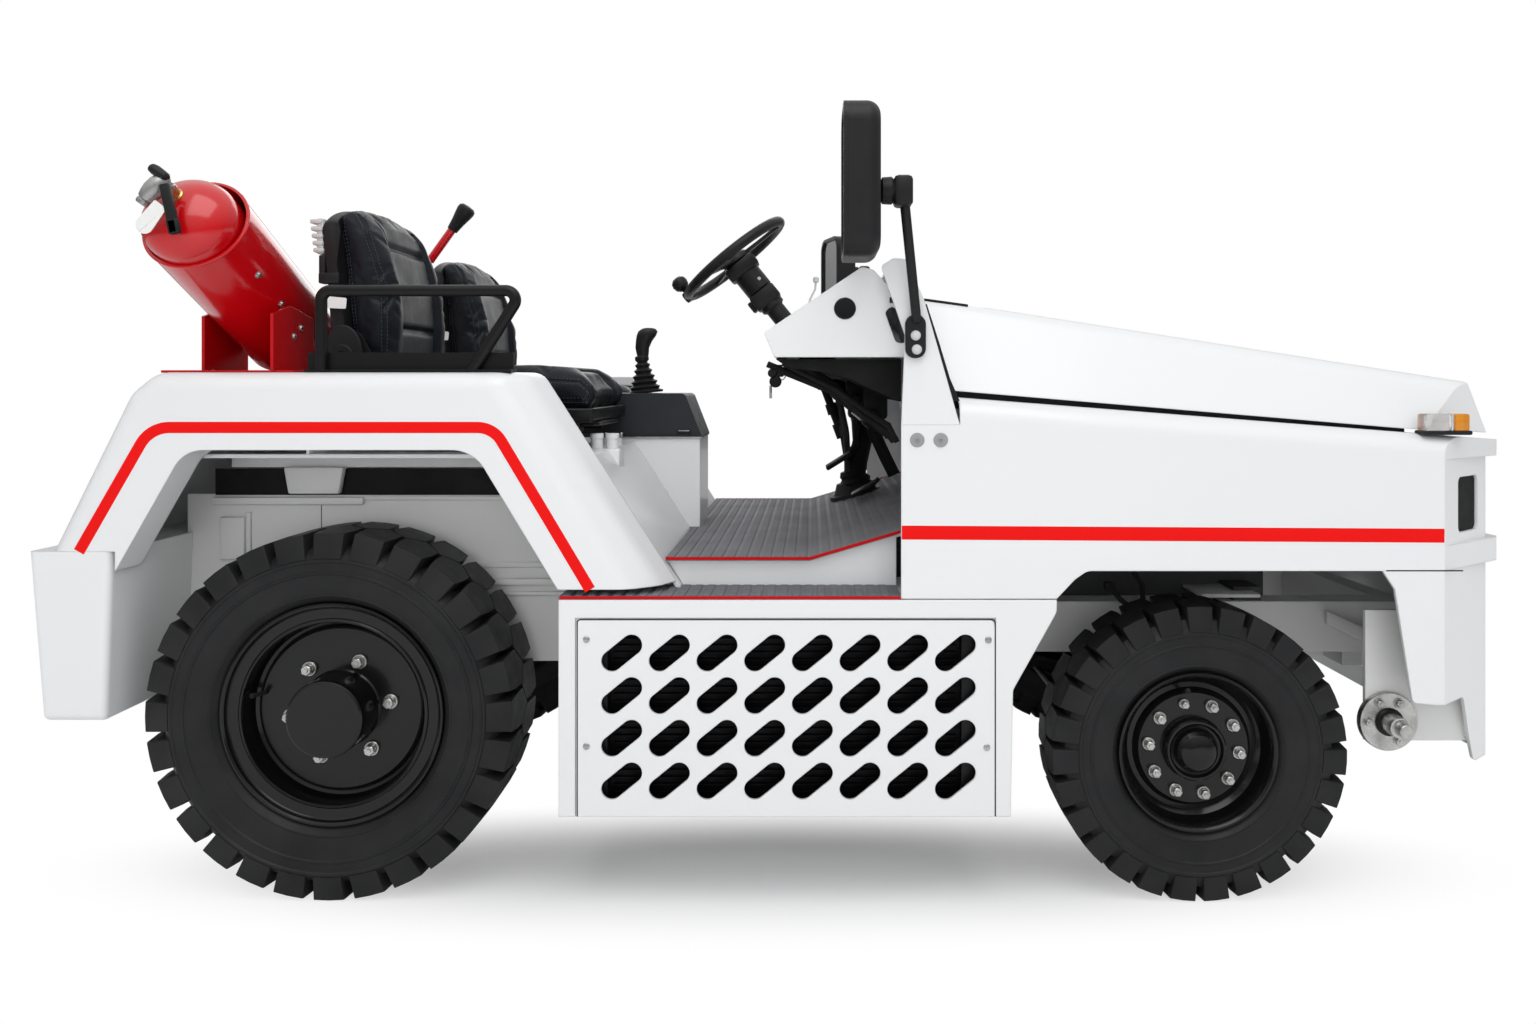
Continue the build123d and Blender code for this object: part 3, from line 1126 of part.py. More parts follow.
# ---------------------------------------------------------------- seats and console
SEATS = {"passenger": (-1, 0.0), "driver": (1, DRIVER_SEAT_DROP)}
CUSHION_REAR_X = REAR_AXLE_X + 76.0
SEAT_BASE_Z = 928.0
SEAT_FIT = 0.3              # cushion or backrest to the recliner plates


def seat_cushion(who):
    """Seat cushion."""
    side, drop = SEATS[who]
    rear, front = CUSHION_REAR_X - 8, CUSHION_REAR_X + 408
    outline = [
        (rear, SEAT_BASE_Z), (front - 18, SEAT_BASE_Z), (front, SEAT_BASE_Z + 28),
        (front, 985), (front - 40, 1008), (front - 140, 1018), (rear, 1012),
    ]
    y = (side * SEAT_Y - SEAT_W / 2, side * SEAT_Y + SEAT_W / 2)
    return Pos(0, 0, -drop) * side_prism(outline, y, {2: 14, 3: 18, 4: 30})


def seat_backrest(who):
    """Backrest with its shell, leaning back."""
    side, drop = SEATS[who]
    x = CUSHION_REAR_X
    outline = [
        (x - 14, SEAT_BASE_Z + 14), (x - 11, 1052), (x - 8, 1110), (x - 13, 1180), (x - 30, 1250),
        (x - 52, 1312), (x - 80, 1352), (x - 104, 1362), (x - 136, 1358), (x - 152, 1335),
        (x - 108, SEAT_BASE_Z + 14),
    ]
    y = (side * SEAT_Y - SEAT_W / 2, side * SEAT_Y + SEAT_W / 2)
    return Pos(0, 0, -drop) * side_prism(outline, y, {6: 12, 8: 12, 9: 12})


def seat_frame(who):
    """Seat pan, recliner plates, slide rails and the stand on the platform."""
    side, drop = SEATS[who]
    x = CUSHION_REAR_X
    rail_z = PLATFORM_Z + DRIVER_SEAT_DROP
    half = SEAT_W / 2
    pan = block((x - 110, x + 396), (-half + 8, half - 8), (SEAT_BASE_Z - 20, SEAT_BASE_Z))
    body = pan
    for y in (-half - 6 - SEAT_FIT, half + SEAT_FIT):
        recliner = side_prism([
            (x - 112, SEAT_BASE_Z - 20), (x + 12, SEAT_BASE_Z - 20), (x - 16, 1000),
            (x - 60, 1090), (x - 112, 1100), (x - 130, 1060),
        ], (y, y + 6), {2: 30, 3: 20, 4: 20, 5: 12})
        body += recliner
    body += block((x - 110, x - 12), (-half - 7, half + 7), (SEAT_BASE_Z - 20, SEAT_BASE_Z))
    for y in (-half + 60, half - 100):
        body += block((x - 80, x + 366), (y, y + 40), (rail_z, SEAT_BASE_Z - 20))
    body = Pos(0, side * SEAT_Y, -drop) * body
    for x0 in (x - 60, x + 240):
        body += block((x0, x0 + 70), (side * SEAT_Y - half + 60, side * SEAT_Y + half - 60),
                      (PLATFORM_Z, rail_z - drop + 10))
    return body


CONSOLE_REAR_X = REAR_AXLE_X + 420.0
CONSOLE_FRONT_X = REAR_AXLE_X + 655.0
CONSOLE_Z = 859.0
COVER_TOP_Z = 965.0


def console_base():
    """White console base between the seats, from the floor up."""
    outer = block((CONSOLE_REAR_X, CONSOLE_FRONT_X), (-CONSOLE_HALF_W, CONSOLE_HALF_W),
                  (FLOOR_Z + MAT, CONSOLE_Z))
    inner = block((CONSOLE_REAR_X - 1, CONSOLE_FRONT_X - PLATE),
                  (-CONSOLE_HALF_W + PLATE, CONSOLE_HALF_W - PLATE), (FLOOR_Z, CONSOLE_Z - PLATE))
    platform = side_prism([
        (REAR_X, PLATFORM_Z), (platform_front(PLATFORM_Z), PLATFORM_Z),
        (platform_front(FLOOR_Z) + 0.3, FLOOR_Z), (REAR_X, FLOOR_Z),
    ], (-HALF_W, HALF_W))
    return outer - inner - platform


def console_cover():
    """Dark console cover with a slanted front, carrying the switches."""
    lid = 6.0
    outline = [
        (CONSOLE_REAR_X - 2, CONSOLE_Z), (CONSOLE_FRONT_X + 3, CONSOLE_Z),
        (CONSOLE_FRONT_X + 3, CONSOLE_Z + lid), (CONSOLE_FRONT_X - 36, COVER_TOP_Z),
        (CONSOLE_REAR_X - 2, COVER_TOP_Z),
    ]
    return side_prism(outline, (-CONSOLE_HALF_W - 3, CONSOLE_HALF_W + 3), {3: 12})


LEVER_X = CONSOLE_REAR_X + 90.0


def gear_lever():
    """Gear lever: ribbed boot, stalk and grip."""
    body = Pos(LEVER_X, 0, COVER_TOP_Z + 6) * Box(88, 70, 12)
    body += Pos(LEVER_X, 0, COVER_TOP_Z + 34) * Cone(30, 14, 46)
    top = Vector(LEVER_X - 4, 0, COVER_TOP_Z + 118)
    body += rod((LEVER_X, 0, COVER_TOP_Z + 50), top, 7)
    body += rod(top - Vector(-2, 0, 30), top + Vector(4, 0, 12), 19)
    return body + Pos(top.X + 4, 0, top.Z + 14) * Sphere(21)


def hitch_lever():
    """Hitch release lever on the deck: foot, rod, sleeve and knob."""
    foot = Vector(REAR_AXLE_X - 226, 0, DECK_Z)
    knob = Vector(REAR_AXLE_X + 64, 0, 1413)
    along = (knob - foot).normalized()
    body = block((foot.X - 40, foot.X + 40), (-32, 32), (DECK_Z, DECK_Z + 6))
    body += block((foot.X - 14, foot.X + 22), (-16, 16), (DECK_Z, DECK_Z + 34))
    body += rod(foot + along * 12, knob, 7)
    body += rod(knob - along * 150, knob - along * 45, 10)
    grip = Cone(12, 20, 62, align=(Align.CENTER, Align.CENTER, Align.MIN))
    grip = fillet(grip.edges().sort_by(Axis.Z)[-1], 9)
    return body + Plane(origin=knob - along * 50, z_dir=along) * grip


# ---------------------------------------------------------------- writing the pieces
def parts():
    """Every sub-part of the tug by name."""
    fender = rear_fender()
    box = side_box()
    table = {
        "chassis_frame": chassis_frame(),
        "rear_bumper": rear_bumper(),
        "tow_hitch": tow_hitch(),
        "rear_fender_right": fender,
        "rear_fender_left": mirror(fender, about=Plane.XZ),
        "rear_deck": rear_deck(),
        "wheel_panels": wheel_panels(),
        "seat_platform": seat_platform(),
        "floor_plate": floor_plate(),
        "floor_mats": floor_mats(),
        "side_box_right": box,
        "side_box_left": mirror(box, about=Plane.XZ),
        "vent_panels": vent_panels(),
        "cooler_packs": cooler_packs(),
        "front_body": front_body(),
        "front_apron": front_apron(),
        "headlamps": headlamps(),
        "front_grilles": front_grilles(),
        "front_tow_points": front_tow_points(),
        "hood": hood(),
        "cowl": cowl(),
        "dash_panel": dash_panel(),
        "steering_column": steering_column(),
        "steering_hoses": steering_hoses(),
        "pedals": pedals(),
        "mirrors": mirrors(),
        "guard_rail": guard_rail(),
        "indicator_lamps": indicator_lamps(),
        "tail_lamps": tail_lamps(),
        "extinguisher_holder": extinguisher_holder(),
        "extinguisher_bottle": extinguisher_bottle(),
        "extinguisher_valve": extinguisher_valve(),
        "console_base": console_base(),
        "console_cover": console_cover(),
        "gear_lever": gear_lever(),
        "hitch_lever": hitch_lever(),
        "engine_block": engine_block(),
        "rear_axle": rear_axle(),
        "front_axle": front_axle(),
        "front_springs": front_springs(),
        "tie_rod": tie_rod(),
        "steering_wheel": steering_wheel(),
    }
    for piece, make in (("cushion", seat_cushion), ("backrest", seat_backrest), ("frame", seat_frame)):
        for who in SEATS:
            table["seat_" + piece + "_" + who] = make(who)
    for side, name in STEERED:
        table["knuckle_" + name] = knuckle(side)
        table["front_rim_" + name] = front_rim(side)
        table["rear_rim_" + name] = rear_rim(side)
        table["front_tyre_" + name] = tyre(
            FRONT_AXLE_X, side * FRONT_WHEEL_Y, FRONT_TYRE_R, FRONT_TYRE_W, FRONT_RIM_R)
        table["rear_tyre_" + name] = tyre(
            REAR_AXLE_X, side * REAR_WHEEL_Y, REAR_TYRE_R, REAR_TYRE_W, REAR_RIM_R)
    return table


os.makedirs("parts", exist_ok=True)
for name, shape in parts().items():
    export_step(shape, "parts/" + name + ".step")
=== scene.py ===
"""Looks of an open airport baggage tug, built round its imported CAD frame.

Sizes in this file are in millimetres and degrees; every mesh is scaled to metres when it is finished.
+X is forward, +Y is to the tug's left and +Z is up. The driver sits on the left.
"""

import logging
import math
from dataclasses import dataclass
from enum import Enum
from typing import Iterable, Sequence

import bmesh
import bpy
from mathutils import Matrix, Vector
from mathutils.bvhtree import BVHTree


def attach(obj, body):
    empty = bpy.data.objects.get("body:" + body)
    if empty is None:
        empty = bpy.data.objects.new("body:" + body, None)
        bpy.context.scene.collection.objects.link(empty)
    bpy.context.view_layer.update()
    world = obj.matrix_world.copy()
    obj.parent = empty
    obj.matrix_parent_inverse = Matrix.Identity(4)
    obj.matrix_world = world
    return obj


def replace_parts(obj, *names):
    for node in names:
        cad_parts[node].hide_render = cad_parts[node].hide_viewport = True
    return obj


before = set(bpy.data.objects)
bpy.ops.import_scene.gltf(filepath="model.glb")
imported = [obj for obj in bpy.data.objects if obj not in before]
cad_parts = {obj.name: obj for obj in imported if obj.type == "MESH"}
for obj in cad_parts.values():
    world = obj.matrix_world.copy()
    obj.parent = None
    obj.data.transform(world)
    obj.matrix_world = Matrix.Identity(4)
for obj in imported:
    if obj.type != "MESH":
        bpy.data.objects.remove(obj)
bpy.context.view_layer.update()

LOG = logging.getLogger("tug")
MM = 0.001
Colour = tuple[float, float, float]
Flat = tuple[float, float]
Point = tuple[float, float, float]
Socket = bpy.types.NodeSocket


class Body(Enum):
    """Rigid bodies that the pieces ride on."""

    CHASSIS = "chassis"
    HOOD = "hood"
    STEERING_WHEEL = "steering_wheel"
    FRONT_WHEEL_RIGHT = "front_wheel_right"
    FRONT_WHEEL_LEFT = "front_wheel_left"
    REAR_WHEEL_RIGHT = "rear_wheel_right"
    REAR_WHEEL_LEFT = "rear_wheel_left"


class Side(Enum):
    """Right is the side towards -Y and left is the side towards +Y."""

    RIGHT = -1
    LEFT = 1

    @property
    def word(self) -> str:
        """The side's name in node and piece names."""
        return self.name.lower()


# ---------------------------------------------------------------- node trees and finishes
class Tree:
    """A node tree, with short calls for what the materials and the world share."""

    def __init__(self, owner: bpy.types.Material | bpy.types.World) -> None:
        """Start from the owner's tree, emptied.

        Args:
            owner: Material or world that has the tree.
        """
        owner.use_nodes = True
        self.nodes, self.links = owner.node_tree.nodes, owner.node_tree.links
        self.nodes.clear()

    def node(self, kind: str, inputs: dict, output: str | int = 0, **settings) -> Socket:
        """Add a node.

        Args:
            kind: The node type without its ShaderNode prefix.
            inputs: Values or sockets by input name or number.
            output: Name or number of the output that is returned.
            **settings: Properties of the node itself.

        Returns:
            The node's output socket.
        """
        new = self.nodes.new("ShaderNode" + kind)
        for name, value in settings.items():
            setattr(new, name, value)
        for name, value in inputs.items():
            if isinstance(value, Socket):
                self.links.new(value, new.inputs[name])
            else:
                new.inputs[name].default_value = value
        return new.outputs[output]

    def math(self, operation: str, *values: float | Socket) -> Socket:
        """Result of a Math node on the values."""
        return self.node("Math", dict(enumerate(values)), operation=operation)

    def seen(self) -> Socket:
        """1 for what the camera sees, directly or through a lens, and 0 for other rays."""
        path = self.nodes.new("ShaderNodeLightPath").outputs
        return self.math("MAXIMUM", path["Is Camera Ray"], path["Is Transmission Ray"])

    def output(self, kind: str, socket: Socket) -> None:
        """Link a socket into a new output node of that kind."""
        self.links.new(socket, self.nodes.new("ShaderNodeOutput" + kind).inputs[0])


class Shader(Tree):
    """A material's node tree, with short calls for the nodes that the finishes share."""

    def __init__(self, name: str) -> None:
        """Start the tree with one Principled shader on Object coordinates.

        Args:
            name: The material's name.
        """
        self.material = bpy.data.materials.new(name)
        super().__init__(self.material)
        self.bsdf = self.nodes.new("ShaderNodeBsdfPrincipled")
        self.place = self.nodes.new("ShaderNodeTexCoord").outputs["Object"]

    def set(self, **values: float | tuple) -> None:
        """Set plain values on the Principled shader's own sockets, named with underscores."""
        for name, value in values.items():
            self.bsdf.inputs[name.replace("_", " ")].default_value = value

    def drive(self, name: str, socket: Socket) -> None:
        """Link a socket into the Principled shader's input of that name."""
        self.links.new(socket, self.bsdf.inputs[name])

    def noise(self, scale: float, detail: float = 3.0, stretch: Point = (1, 1, 1)) -> Socket:
        """Noise with about scale lumps to a metre, stretched per axis.

        Args:
            scale: Lumps to a metre.
            detail: Octaves of the noise.
            stretch: Scale along each axis.

        Returns:
            The noise's value.
        """
        at = self.place
        if stretch != (1, 1, 1):
            at = self.node("Mapping", {"Vector": at, "Scale": stretch})
        return self.node("TexNoise", {"Vector": at, "Scale": scale, "Detail": detail})

    def spread(self, value: Socket, low: float, high: float,
               start: float = 0.3, end: float = 0.7) -> Socket:
        """Map a pattern's middle range on to low..high."""
        return self.node("MapRange", {"Value": value, "From Min": start, "From Max": end,
                                      "To Min": low, "To Max": high})

    def blend(self, factor: Socket, first: Colour, second: Colour) -> Socket:
        """Colour between first and second by factor.

        Args:
            factor: 0 for the first colour and 1 for the second.
            first: Colour at 0.
            second: Colour at 1.

        Returns:
            The mixed colour.
        """
        ramp = self.nodes.new("ShaderNodeValToRGB")
        ramp.color_ramp.elements[0].color = (*first, 1)
        ramp.color_ramp.elements[1].color = (*second, 1)
        self.links.new(factor, ramp.inputs[0])
        return ramp.outputs[0]

    def bump(self, height: Socket, depth: float, soft_edge: float = 0.0) -> None:
        """Feed a bump into the shader's normal.

        Args:
            height: Pattern from 0 to 1.
            depth: Depth of the pattern in millimetres.
            soft_edge: Radius in millimetres that hard edges seem rounded to.
        """
        inputs = {"Height": height, "Distance": depth * MM, "Strength": 1.0}
        if soft_edge:
            inputs["Normal"] = self.node("Bevel", {"Radius": soft_edge * MM}, samples=6)
        self.drive("Normal", self.node("Bump", inputs))


@dataclass(frozen=True)
class Finish:
    """A named surface finish.

    Attributes:
        name: Name of the material.
        colour: Base colour, linear.
        roughness: Middle roughness.
        slot: The record's material slot that it stands for; not used.
    """

    name: str
    colour: Colour
    roughness: float
    slot: str

    def tint(self, share: float) -> Colour:
        """The base colour times share."""
        return tuple(min(1.0, c * share) for c in self.colour)

    def patch(self, shader: Shader, noise: Socket, second: Colour, start: float, end: float) -> None:
        """Let the colour go over to a second one where the noise rises from start to end."""
        shader.drive("Base Color", shader.blend(shader.spread(noise, 0, 1, start, end), self.colour, second))

    def dull(self, shader: Shader, noise: Socket, low: float, high: float) -> None:
        """Let the roughness vary with the noise between two shares of its middle value."""
        shader.drive("Roughness", shader.spread(noise, self.roughness * low, self.roughness * high))

    def dress(self, shader: Shader) -> None:
        """Fill the shader; a plain finish has a little mottling.

        Args:
            shader: The material's tree.
        """
        shader.drive("Base Color", shader.blend(shader.noise(9, 4), self.tint(0.94), self.tint(1.05)))
        shader.set(Roughness=self.roughness)

    def material(self) -> bpy.types.Material:
        """The material of this finish, made on first use.

        Returns:
            The material.
        """
        known = bpy.data.materials.get(self.name)
        if known:
            return known
        shader = Shader(self.name)
        self.dress(shader)
        shader.output("Material", shader.bsdf.outputs[0])
        return shader.material


@dataclass(frozen=True)
class Paint(Finish):
    """Sprayed enamel with orange peel under a clear coat.

    Attributes:
        coat: Weight of the clear coat.
        peel: Depth of the orange peel in millimetres.
        edge: Radius in millimetres of the painted edges.
        grime: Share of colour lost in the dustiest patches.
        shine: Specular level under the coat.
    """

    shine: float = 0.4
    coat: float = 0.5
    peel: float = 0.004
    edge: float = 3.0
    grime: float = 0.012

    def dress(self, shader: Shader) -> None:
        """Even colour with faint patches, low gloss variation and orange peel."""
        self.patch(shader, shader.noise(2.2, 3), self.tint(1 - self.grime), 0.1, 0.9)
        self.dull(shader, shader.noise(9, 2), 0.92, 1.1)
        shader.set(Coat_Weight=self.coat, Coat_Roughness=0.1, Specular_IOR_Level=self.shine)
        shader.bump(shader.noise(170, 1), self.peel, self.edge)


@dataclass(frozen=True)
class Rubber(Finish):
    """Moulded rubber, a little dusty.

    Attributes:
        dust: Colour of the dust.
        grain: Noise lumps to a metre of the moulded grain.
        edge: Radius in millimetres of the moulded edges.
    """

    dust: Colour = (0.09, 0.088, 0.085)
    grain: float = 260.0
    edge: float = 1.5

    def dress(self, shader: Shader) -> None:
        """Dark rubber with dusty patches, dull scuffs and fine grain."""
        self.patch(shader, shader.noise(11, 6), self.dust, 0.35, 0.85)
        self.dull(shader, shader.noise(30, 4), 0.9, 1.12)
        shader.set(Specular_IOR_Level=0.28)
        shader.bump(shader.noise(self.grain, 4), 0.12, self.edge)


@dataclass(frozen=True)
class Plastic(Finish):
    """Moulded plastic with a leather-like or sandy grain.

    Attributes:
        grain: Cells to a metre.
        depth: Depth of the grain in millimetres.
        edge: Radius in millimetres of the moulded edges.
    """

    grain: float = 700.0
    depth: float = 0.05
    edge: float = 1.5

    def dress(self, shader: Shader) -> None:
        """Even plastic colour with a cell grain."""
        shader.drive("Base Color", shader.blend(shader.noise(18, 4), self.tint(0.85), self.tint(1.2)))
        cells = shader.node("TexVoronoi", {"Vector": shader.place, "Scale": self.grain}, "Distance")
        self.dull(shader, shader.noise(40, 3), 0.9, 1.1)
        shader.set(Specular_IOR_Level=0.28)
        shader.bump(cells, self.depth, self.edge)


@dataclass(frozen=True)
class Vinyl(Finish):
    """Seat cover with leather grain, creases and a soft sheen."""

    def dress(self, shader: Shader) -> None:
        """Grained cover that is a little shinier where it is worn."""
        self.patch(shader, shader.noise(7, 4), self.tint(1.5), 0.35, 0.7)
        self.dull(shader, shader.noise(16, 4), 0.85, 1.2)
        shader.set(Specular_IOR_Level=0.14)
        cells = shader.node("TexVoronoi", {"Vector": shader.place, "Scale": 430.0}, "Distance",
                            feature="SMOOTH_F1")
        creases = shader.noise(55, 5)
        shader.bump(shader.math("ADD", cells, shader.math("MULTIPLY", creases, 1.4)), 0.35)


@dataclass(frozen=True)
class Metal(Finish):
    """Bare or plated metal.

    Attributes:
        brushed: Stretch of the brushing along each axis.
        stain: Colour of dull patches as a share of the base colour.
    """

    brushed: Point = (1, 1, 1)
    stain: float = 0.6

    def dress(self, shader: Shader) -> None:
        """Metal with dull patches and fine brushing."""
        self.patch(shader, shader.noise(35, 5), self.tint(self.stain), 0.4, 0.75)
        fine = shader.noise(500, 3, self.brushed)
        self.dull(shader, fine, 0.75, 1.3)
        shader.set(Metallic=1.0)
        shader.bump(fine, 0.03, 0.8)


@dataclass(frozen=True)
class Lens(Finish):
    """Clear moulded lens with prisms on its back.

    Attributes:
        ribs: Prisms to a metre.
        clear: Transmission weight.
    """

    ribs: float = 120.0
    clear: float = 0.7

    def dress(self, shader: Shader) -> None:
        """Tinted lens with a ribbed relief."""
        shader.drive("Base Color", shader.blend(shader.noise(20, 3), self.colour, self.tint(0.85)))
        shader.set(Roughness=self.roughness, Transmission_Weight=self.clear, IOR=1.49, Coat_Weight=0.4,
                   Coat_Roughness=0.05)
        ribs = shader.node("TexWave", {"Vector": shader.place, "Scale": self.ribs / 6.2, "Distortion": 0.0},
                           "Fac", bands_direction="Z")
        shader.bump(ribs, 0.5, 0.6)


@dataclass(frozen=True)
class TreadMat(Finish):
    """Rubber sheet of the floor mats."""

    def dress(self, shader: Shader) -> None:
        """Grey rubber with dusty patches and fine grain."""
        self.patch(shader, shader.noise(8, 5), self.tint(1.35), 0.3, 0.75)
        shader.set(Roughness=self.roughness, Specular_IOR_Level=0.4)
        shader.bump(shader.noise(300, 3), 0.15, 1.0)


WHITE = Paint("enamel_white", (0.77, 0.775, 0.78), 0.3, "white_paint", coat=0.25, edge=4.0)
UNDER = Paint("enamel_underbody", (0.70, 0.705, 0.69), 0.42, "frame_paint", coat=0.1, edge=3.0, grime=0.1)
RED = Paint("enamel_red", (0.54, 0.0016, 0.005), 0.2, "red_paint", coat=0.6, edge=1.5)
STRIPE = Paint("tape_red", (0.80, 0.008, 0.007), 0.6, "red_paint", coat=0.0, peel=0.002, edge=0.0, shine=0.08)
SATIN_BLACK = Paint("powder_black", (0.006, 0.006, 0.0065), 0.4, "black_paint", coat=0.05, peel=0.01,
                    edge=2.0, shine=0.25)
RIM_BLACK = Paint("enamel_black", (0.0035, 0.0035, 0.004), 0.24, "rim_paint", coat=0.22, edge=1.2, shine=0.3)
TYRE = Rubber("tyre_rubber", (0.0095, 0.0097, 0.0105), 0.5, "tyre", dust=(0.019, 0.019, 0.020))
HOSE = Rubber("hose_rubber", (0.012, 0.012, 0.012), 0.5, "hose_rubber", dust=(0.03, 0.03, 0.03), edge=0.0)
SEAL = Rubber("seal_rubber", (0.006, 0.006, 0.006), 0.7, "hose_rubber", dust=(0.012, 0.012, 0.012), edge=0.0)
MAT = TreadMat("tread_mat", (0.15, 0.15, 0.162), 0.75, "mat_rubber")
BLACK_PLASTIC = Plastic("plastic_black", (0.011, 0.011, 0.012), 0.45, "black_plastic")
CONSOLE_GREY = Plastic("plastic_console", (0.022, 0.024, 0.028), 0.5, "black_plastic")
VINYL = Vinyl("vinyl_seat", (0.009, 0.010, 0.013), 0.38, "seat_vinyl")
THREAD = Finish("stitch_thread", (0.05, 0.052, 0.06), 0.7, "seat_vinyl")
ZINC = Metal("plate_zinc", (0.62, 0.62, 0.60), 0.32, "zinc_steel")
ALLOY = Metal("cast_alloy", (0.50, 0.50, 0.49), 0.45, "valve_alloy")
BRASS = Metal("turned_brass", (0.60, 0.44, 0.17), 0.3, "valve_alloy")
MIRROR_GLASS = Metal("mirror_silver", (0.86, 0.87, 0.88), 0.04, "zinc_steel", stain=0.97)
SILVER = Paint("silver_paint", (0.52, 0.52, 0.51), 0.45, "zinc_steel", coat=0.2, edge=1.0)
DARK_RED = Paint("mat_edging", (0.50, 0.004, 0.006), 0.6, "red_paint", coat=0.0, edge=0.0, shine=0.1)
PALE_GREY = Plastic("plastic_pale", (0.55, 0.56, 0.56), 0.5, "black_plastic")
MID_GREY = Plastic("plastic_grey", (0.30, 0.30, 0.30), 0.5, "black_plastic")
LENS_BLACK = Paint("lens_smoked", (0.006, 0.006, 0.007), 0.1, "black_plastic", coat=0.6, edge=1.5)
STEEL_BLACK = Metal("spring_black", (0.04, 0.04, 0.04), 0.5, "spring_steel")
IRON = Finish("cast_iron", (0.05, 0.052, 0.055), 0.62, "engine_iron")
FINS = Metal("cooler_fins", (0.022, 0.022, 0.024), 0.5, "cooler_black")
CLEAR = Lens("lens_clear", (0.95, 0.95, 0.95), 0.08, "clear_lens", clear=0.9)
AMBER = Lens("lens_amber", (0.95, 0.36, 0.01), 0.12, "amber_lens", clear=0.45)
RED_LENS = Lens("lens_red", (0.65, 0.006, 0.006), 0.12, "red_lens", clear=0.4)
TAG = Finish("tag_white", (0.78, 0.78, 0.76), 0.55, "white_paint")


# ---------------------------------------------------------------- mesh tools
class Piece:
    """A mesh under construction, in millimetres, that becomes one Blender object."""

    def __init__(self) -> None:
        """Start an empty mesh."""
        self.bm = bmesh.new()

    def place(self, verts: Iterable[bmesh.types.BMVert], matrix: Matrix) -> None:
        """Transform the vertices."""
        bmesh.ops.transform(self.bm, matrix=matrix, verts=list(verts))

    def lathe(self, profile: Sequence[Flat], matrix: Matrix, steps: int = 96,
              closed: bool = False) -> None:
        """Spin a profile of (radius, height) points round the local Z axis.

        Args:
            profile: Points from one end to the other.
            matrix: Local to tug coordinates.
            steps: Segments round the axis.
            closed: True joins the last point to the first.
        """
        verts = [self.bm.verts.new((r, 0, z)) for r, z in profile]
        edges = [self.bm.edges.new(pair) for pair in zip(verts, verts[1:])]
        if closed:
            edges.append(self.bm.edges.new((verts[-1], verts[0])))
        before = set(self.bm.verts)
        bmesh.ops.spin(self.bm, geom=verts + edges, cent=(0, 0, 0), axis=(0, 0, 1), angle=math.tau,
                       steps=steps, use_merge=True)
        new = [v for v in self.bm.verts if v not in before] + verts
        bmesh.ops.remove_doubles(self.bm, verts=new, dist=0.001)
        self.place([v for v in self.bm.verts if v not in before or v in verts], matrix)

    def prism(self, outline: Sequence[Flat], depth: float, matrix: Matrix, bevel: float = 0.0,
              segments: int = 2) -> None:
        """Extrude a flat outline along the local Z axis.

        Args:
            outline: Corners in the local XY plane.
            depth: Height of the prism.
            matrix: Local to tug coordinates.
            bevel: Width of the bevel on every edge.
            segments: Segments of the bevel.
        """
        verts = [self.bm.verts.new((x, y, 0)) for x, y in outline]
        face = self.bm.faces.new(verts)
        new = bmesh.ops.extrude_face_region(self.bm, geom=[face])["geom"]
        top = [v for v in new if isinstance(v, bmesh.types.BMVert)]
        bmesh.ops.translate(self.bm, verts=top, vec=(0, 0, depth))
        whole = verts + top
        if bevel:
            edges = {e for v in whole for e in v.link_edges}
            done = bmesh.ops.bevel(self.bm, geom=list(edges), offset=bevel, segments=segments,
                                   affect="EDGES", profile=0.5, material=-1, clamp_overlap=True)
            near = {v for f in done["faces"] for v in f.verts} | {v for v in whole if v.is_valid}
            whole = {v for one in near for f in one.link_faces for v in f.verts}
        self.place(whole, matrix)

    def block(self, low: Point, high: Point, bevel: float = 0.0, matrix: Matrix | None = None) -> None:
        """Box between two corners, in tug coordinates or those of the matrix.

        Args:
            low: Corner with the lowest coordinates.
            high: Corner with the highest ones.
            bevel: Width of the bevel on every edge.
            matrix: Local to tug coordinates.
        """
        outline = [(low[0], low[1]), (high[0], low[1]), (high[0], high[1]), (low[0], high[1])]
        lift = Matrix.Translation((0, 0, low[2]))
        self.prism(outline, high[2] - low[2], (matrix or Matrix()) @ lift, bevel)

    def rod(self, start: Sequence[float], end: Sequence[float], radius: float, steps: int = 20,
            bevel: float = 0.0) -> None:
        """Round bar from start to end with bevelled ends.

        Args:
            start: Middle of one end.
            end: Middle of the other end.
            radius: Radius of the bar.
            steps: Segments round it.
            bevel: Width of the bevel at the ends.
        """
        length = (Vector(end) - Vector(start)).length
        cut = min(bevel, radius * 0.6, length * 0.4)
        profile = [(0, 0), (radius - cut, 0), (radius, cut), (radius, length - cut),
                   (radius - cut, length), (0, length)]
        self.lathe(profile if cut else [(0, 0), (radius, 0), (radius, length), (0, length)],
                   along(start, end), steps)

    def bolt(self, at: Sequence[float], axis: Sequence[float], across: float, height: float,
             turn: float = 0.0, washer: float = 0.0) -> None:
        """Hexagon head on an optional washer.

        Args:
            at: Point on the surface under the head.
            axis: Direction that the head points in.
            across: Width across the corners.
            height: Height of the head.
            turn: Degrees of turn about the axis.
            washer: Radius of the washer, or 0.
        """
        to = along(at, Vector(at) + Vector(axis))
        base = 0.0
        if washer:
            base = height * 0.22
            self.lathe([(0, 0), (washer, 0), (washer, base * 0.7), (washer - base * 0.3, base), (0, base)],
                       to, 20)
        radius = across / 2
        foot = to @ Matrix.Translation((0, 0, base))
        self.prism(circle(radius, 6, 0.0, turn), height, foot, height * 0.12, 1)
        self.lathe([(0, height), (radius * 0.42, height), (radius * 0.40, height * 1.28), (0, height * 1.3)],
                   foot, 14)

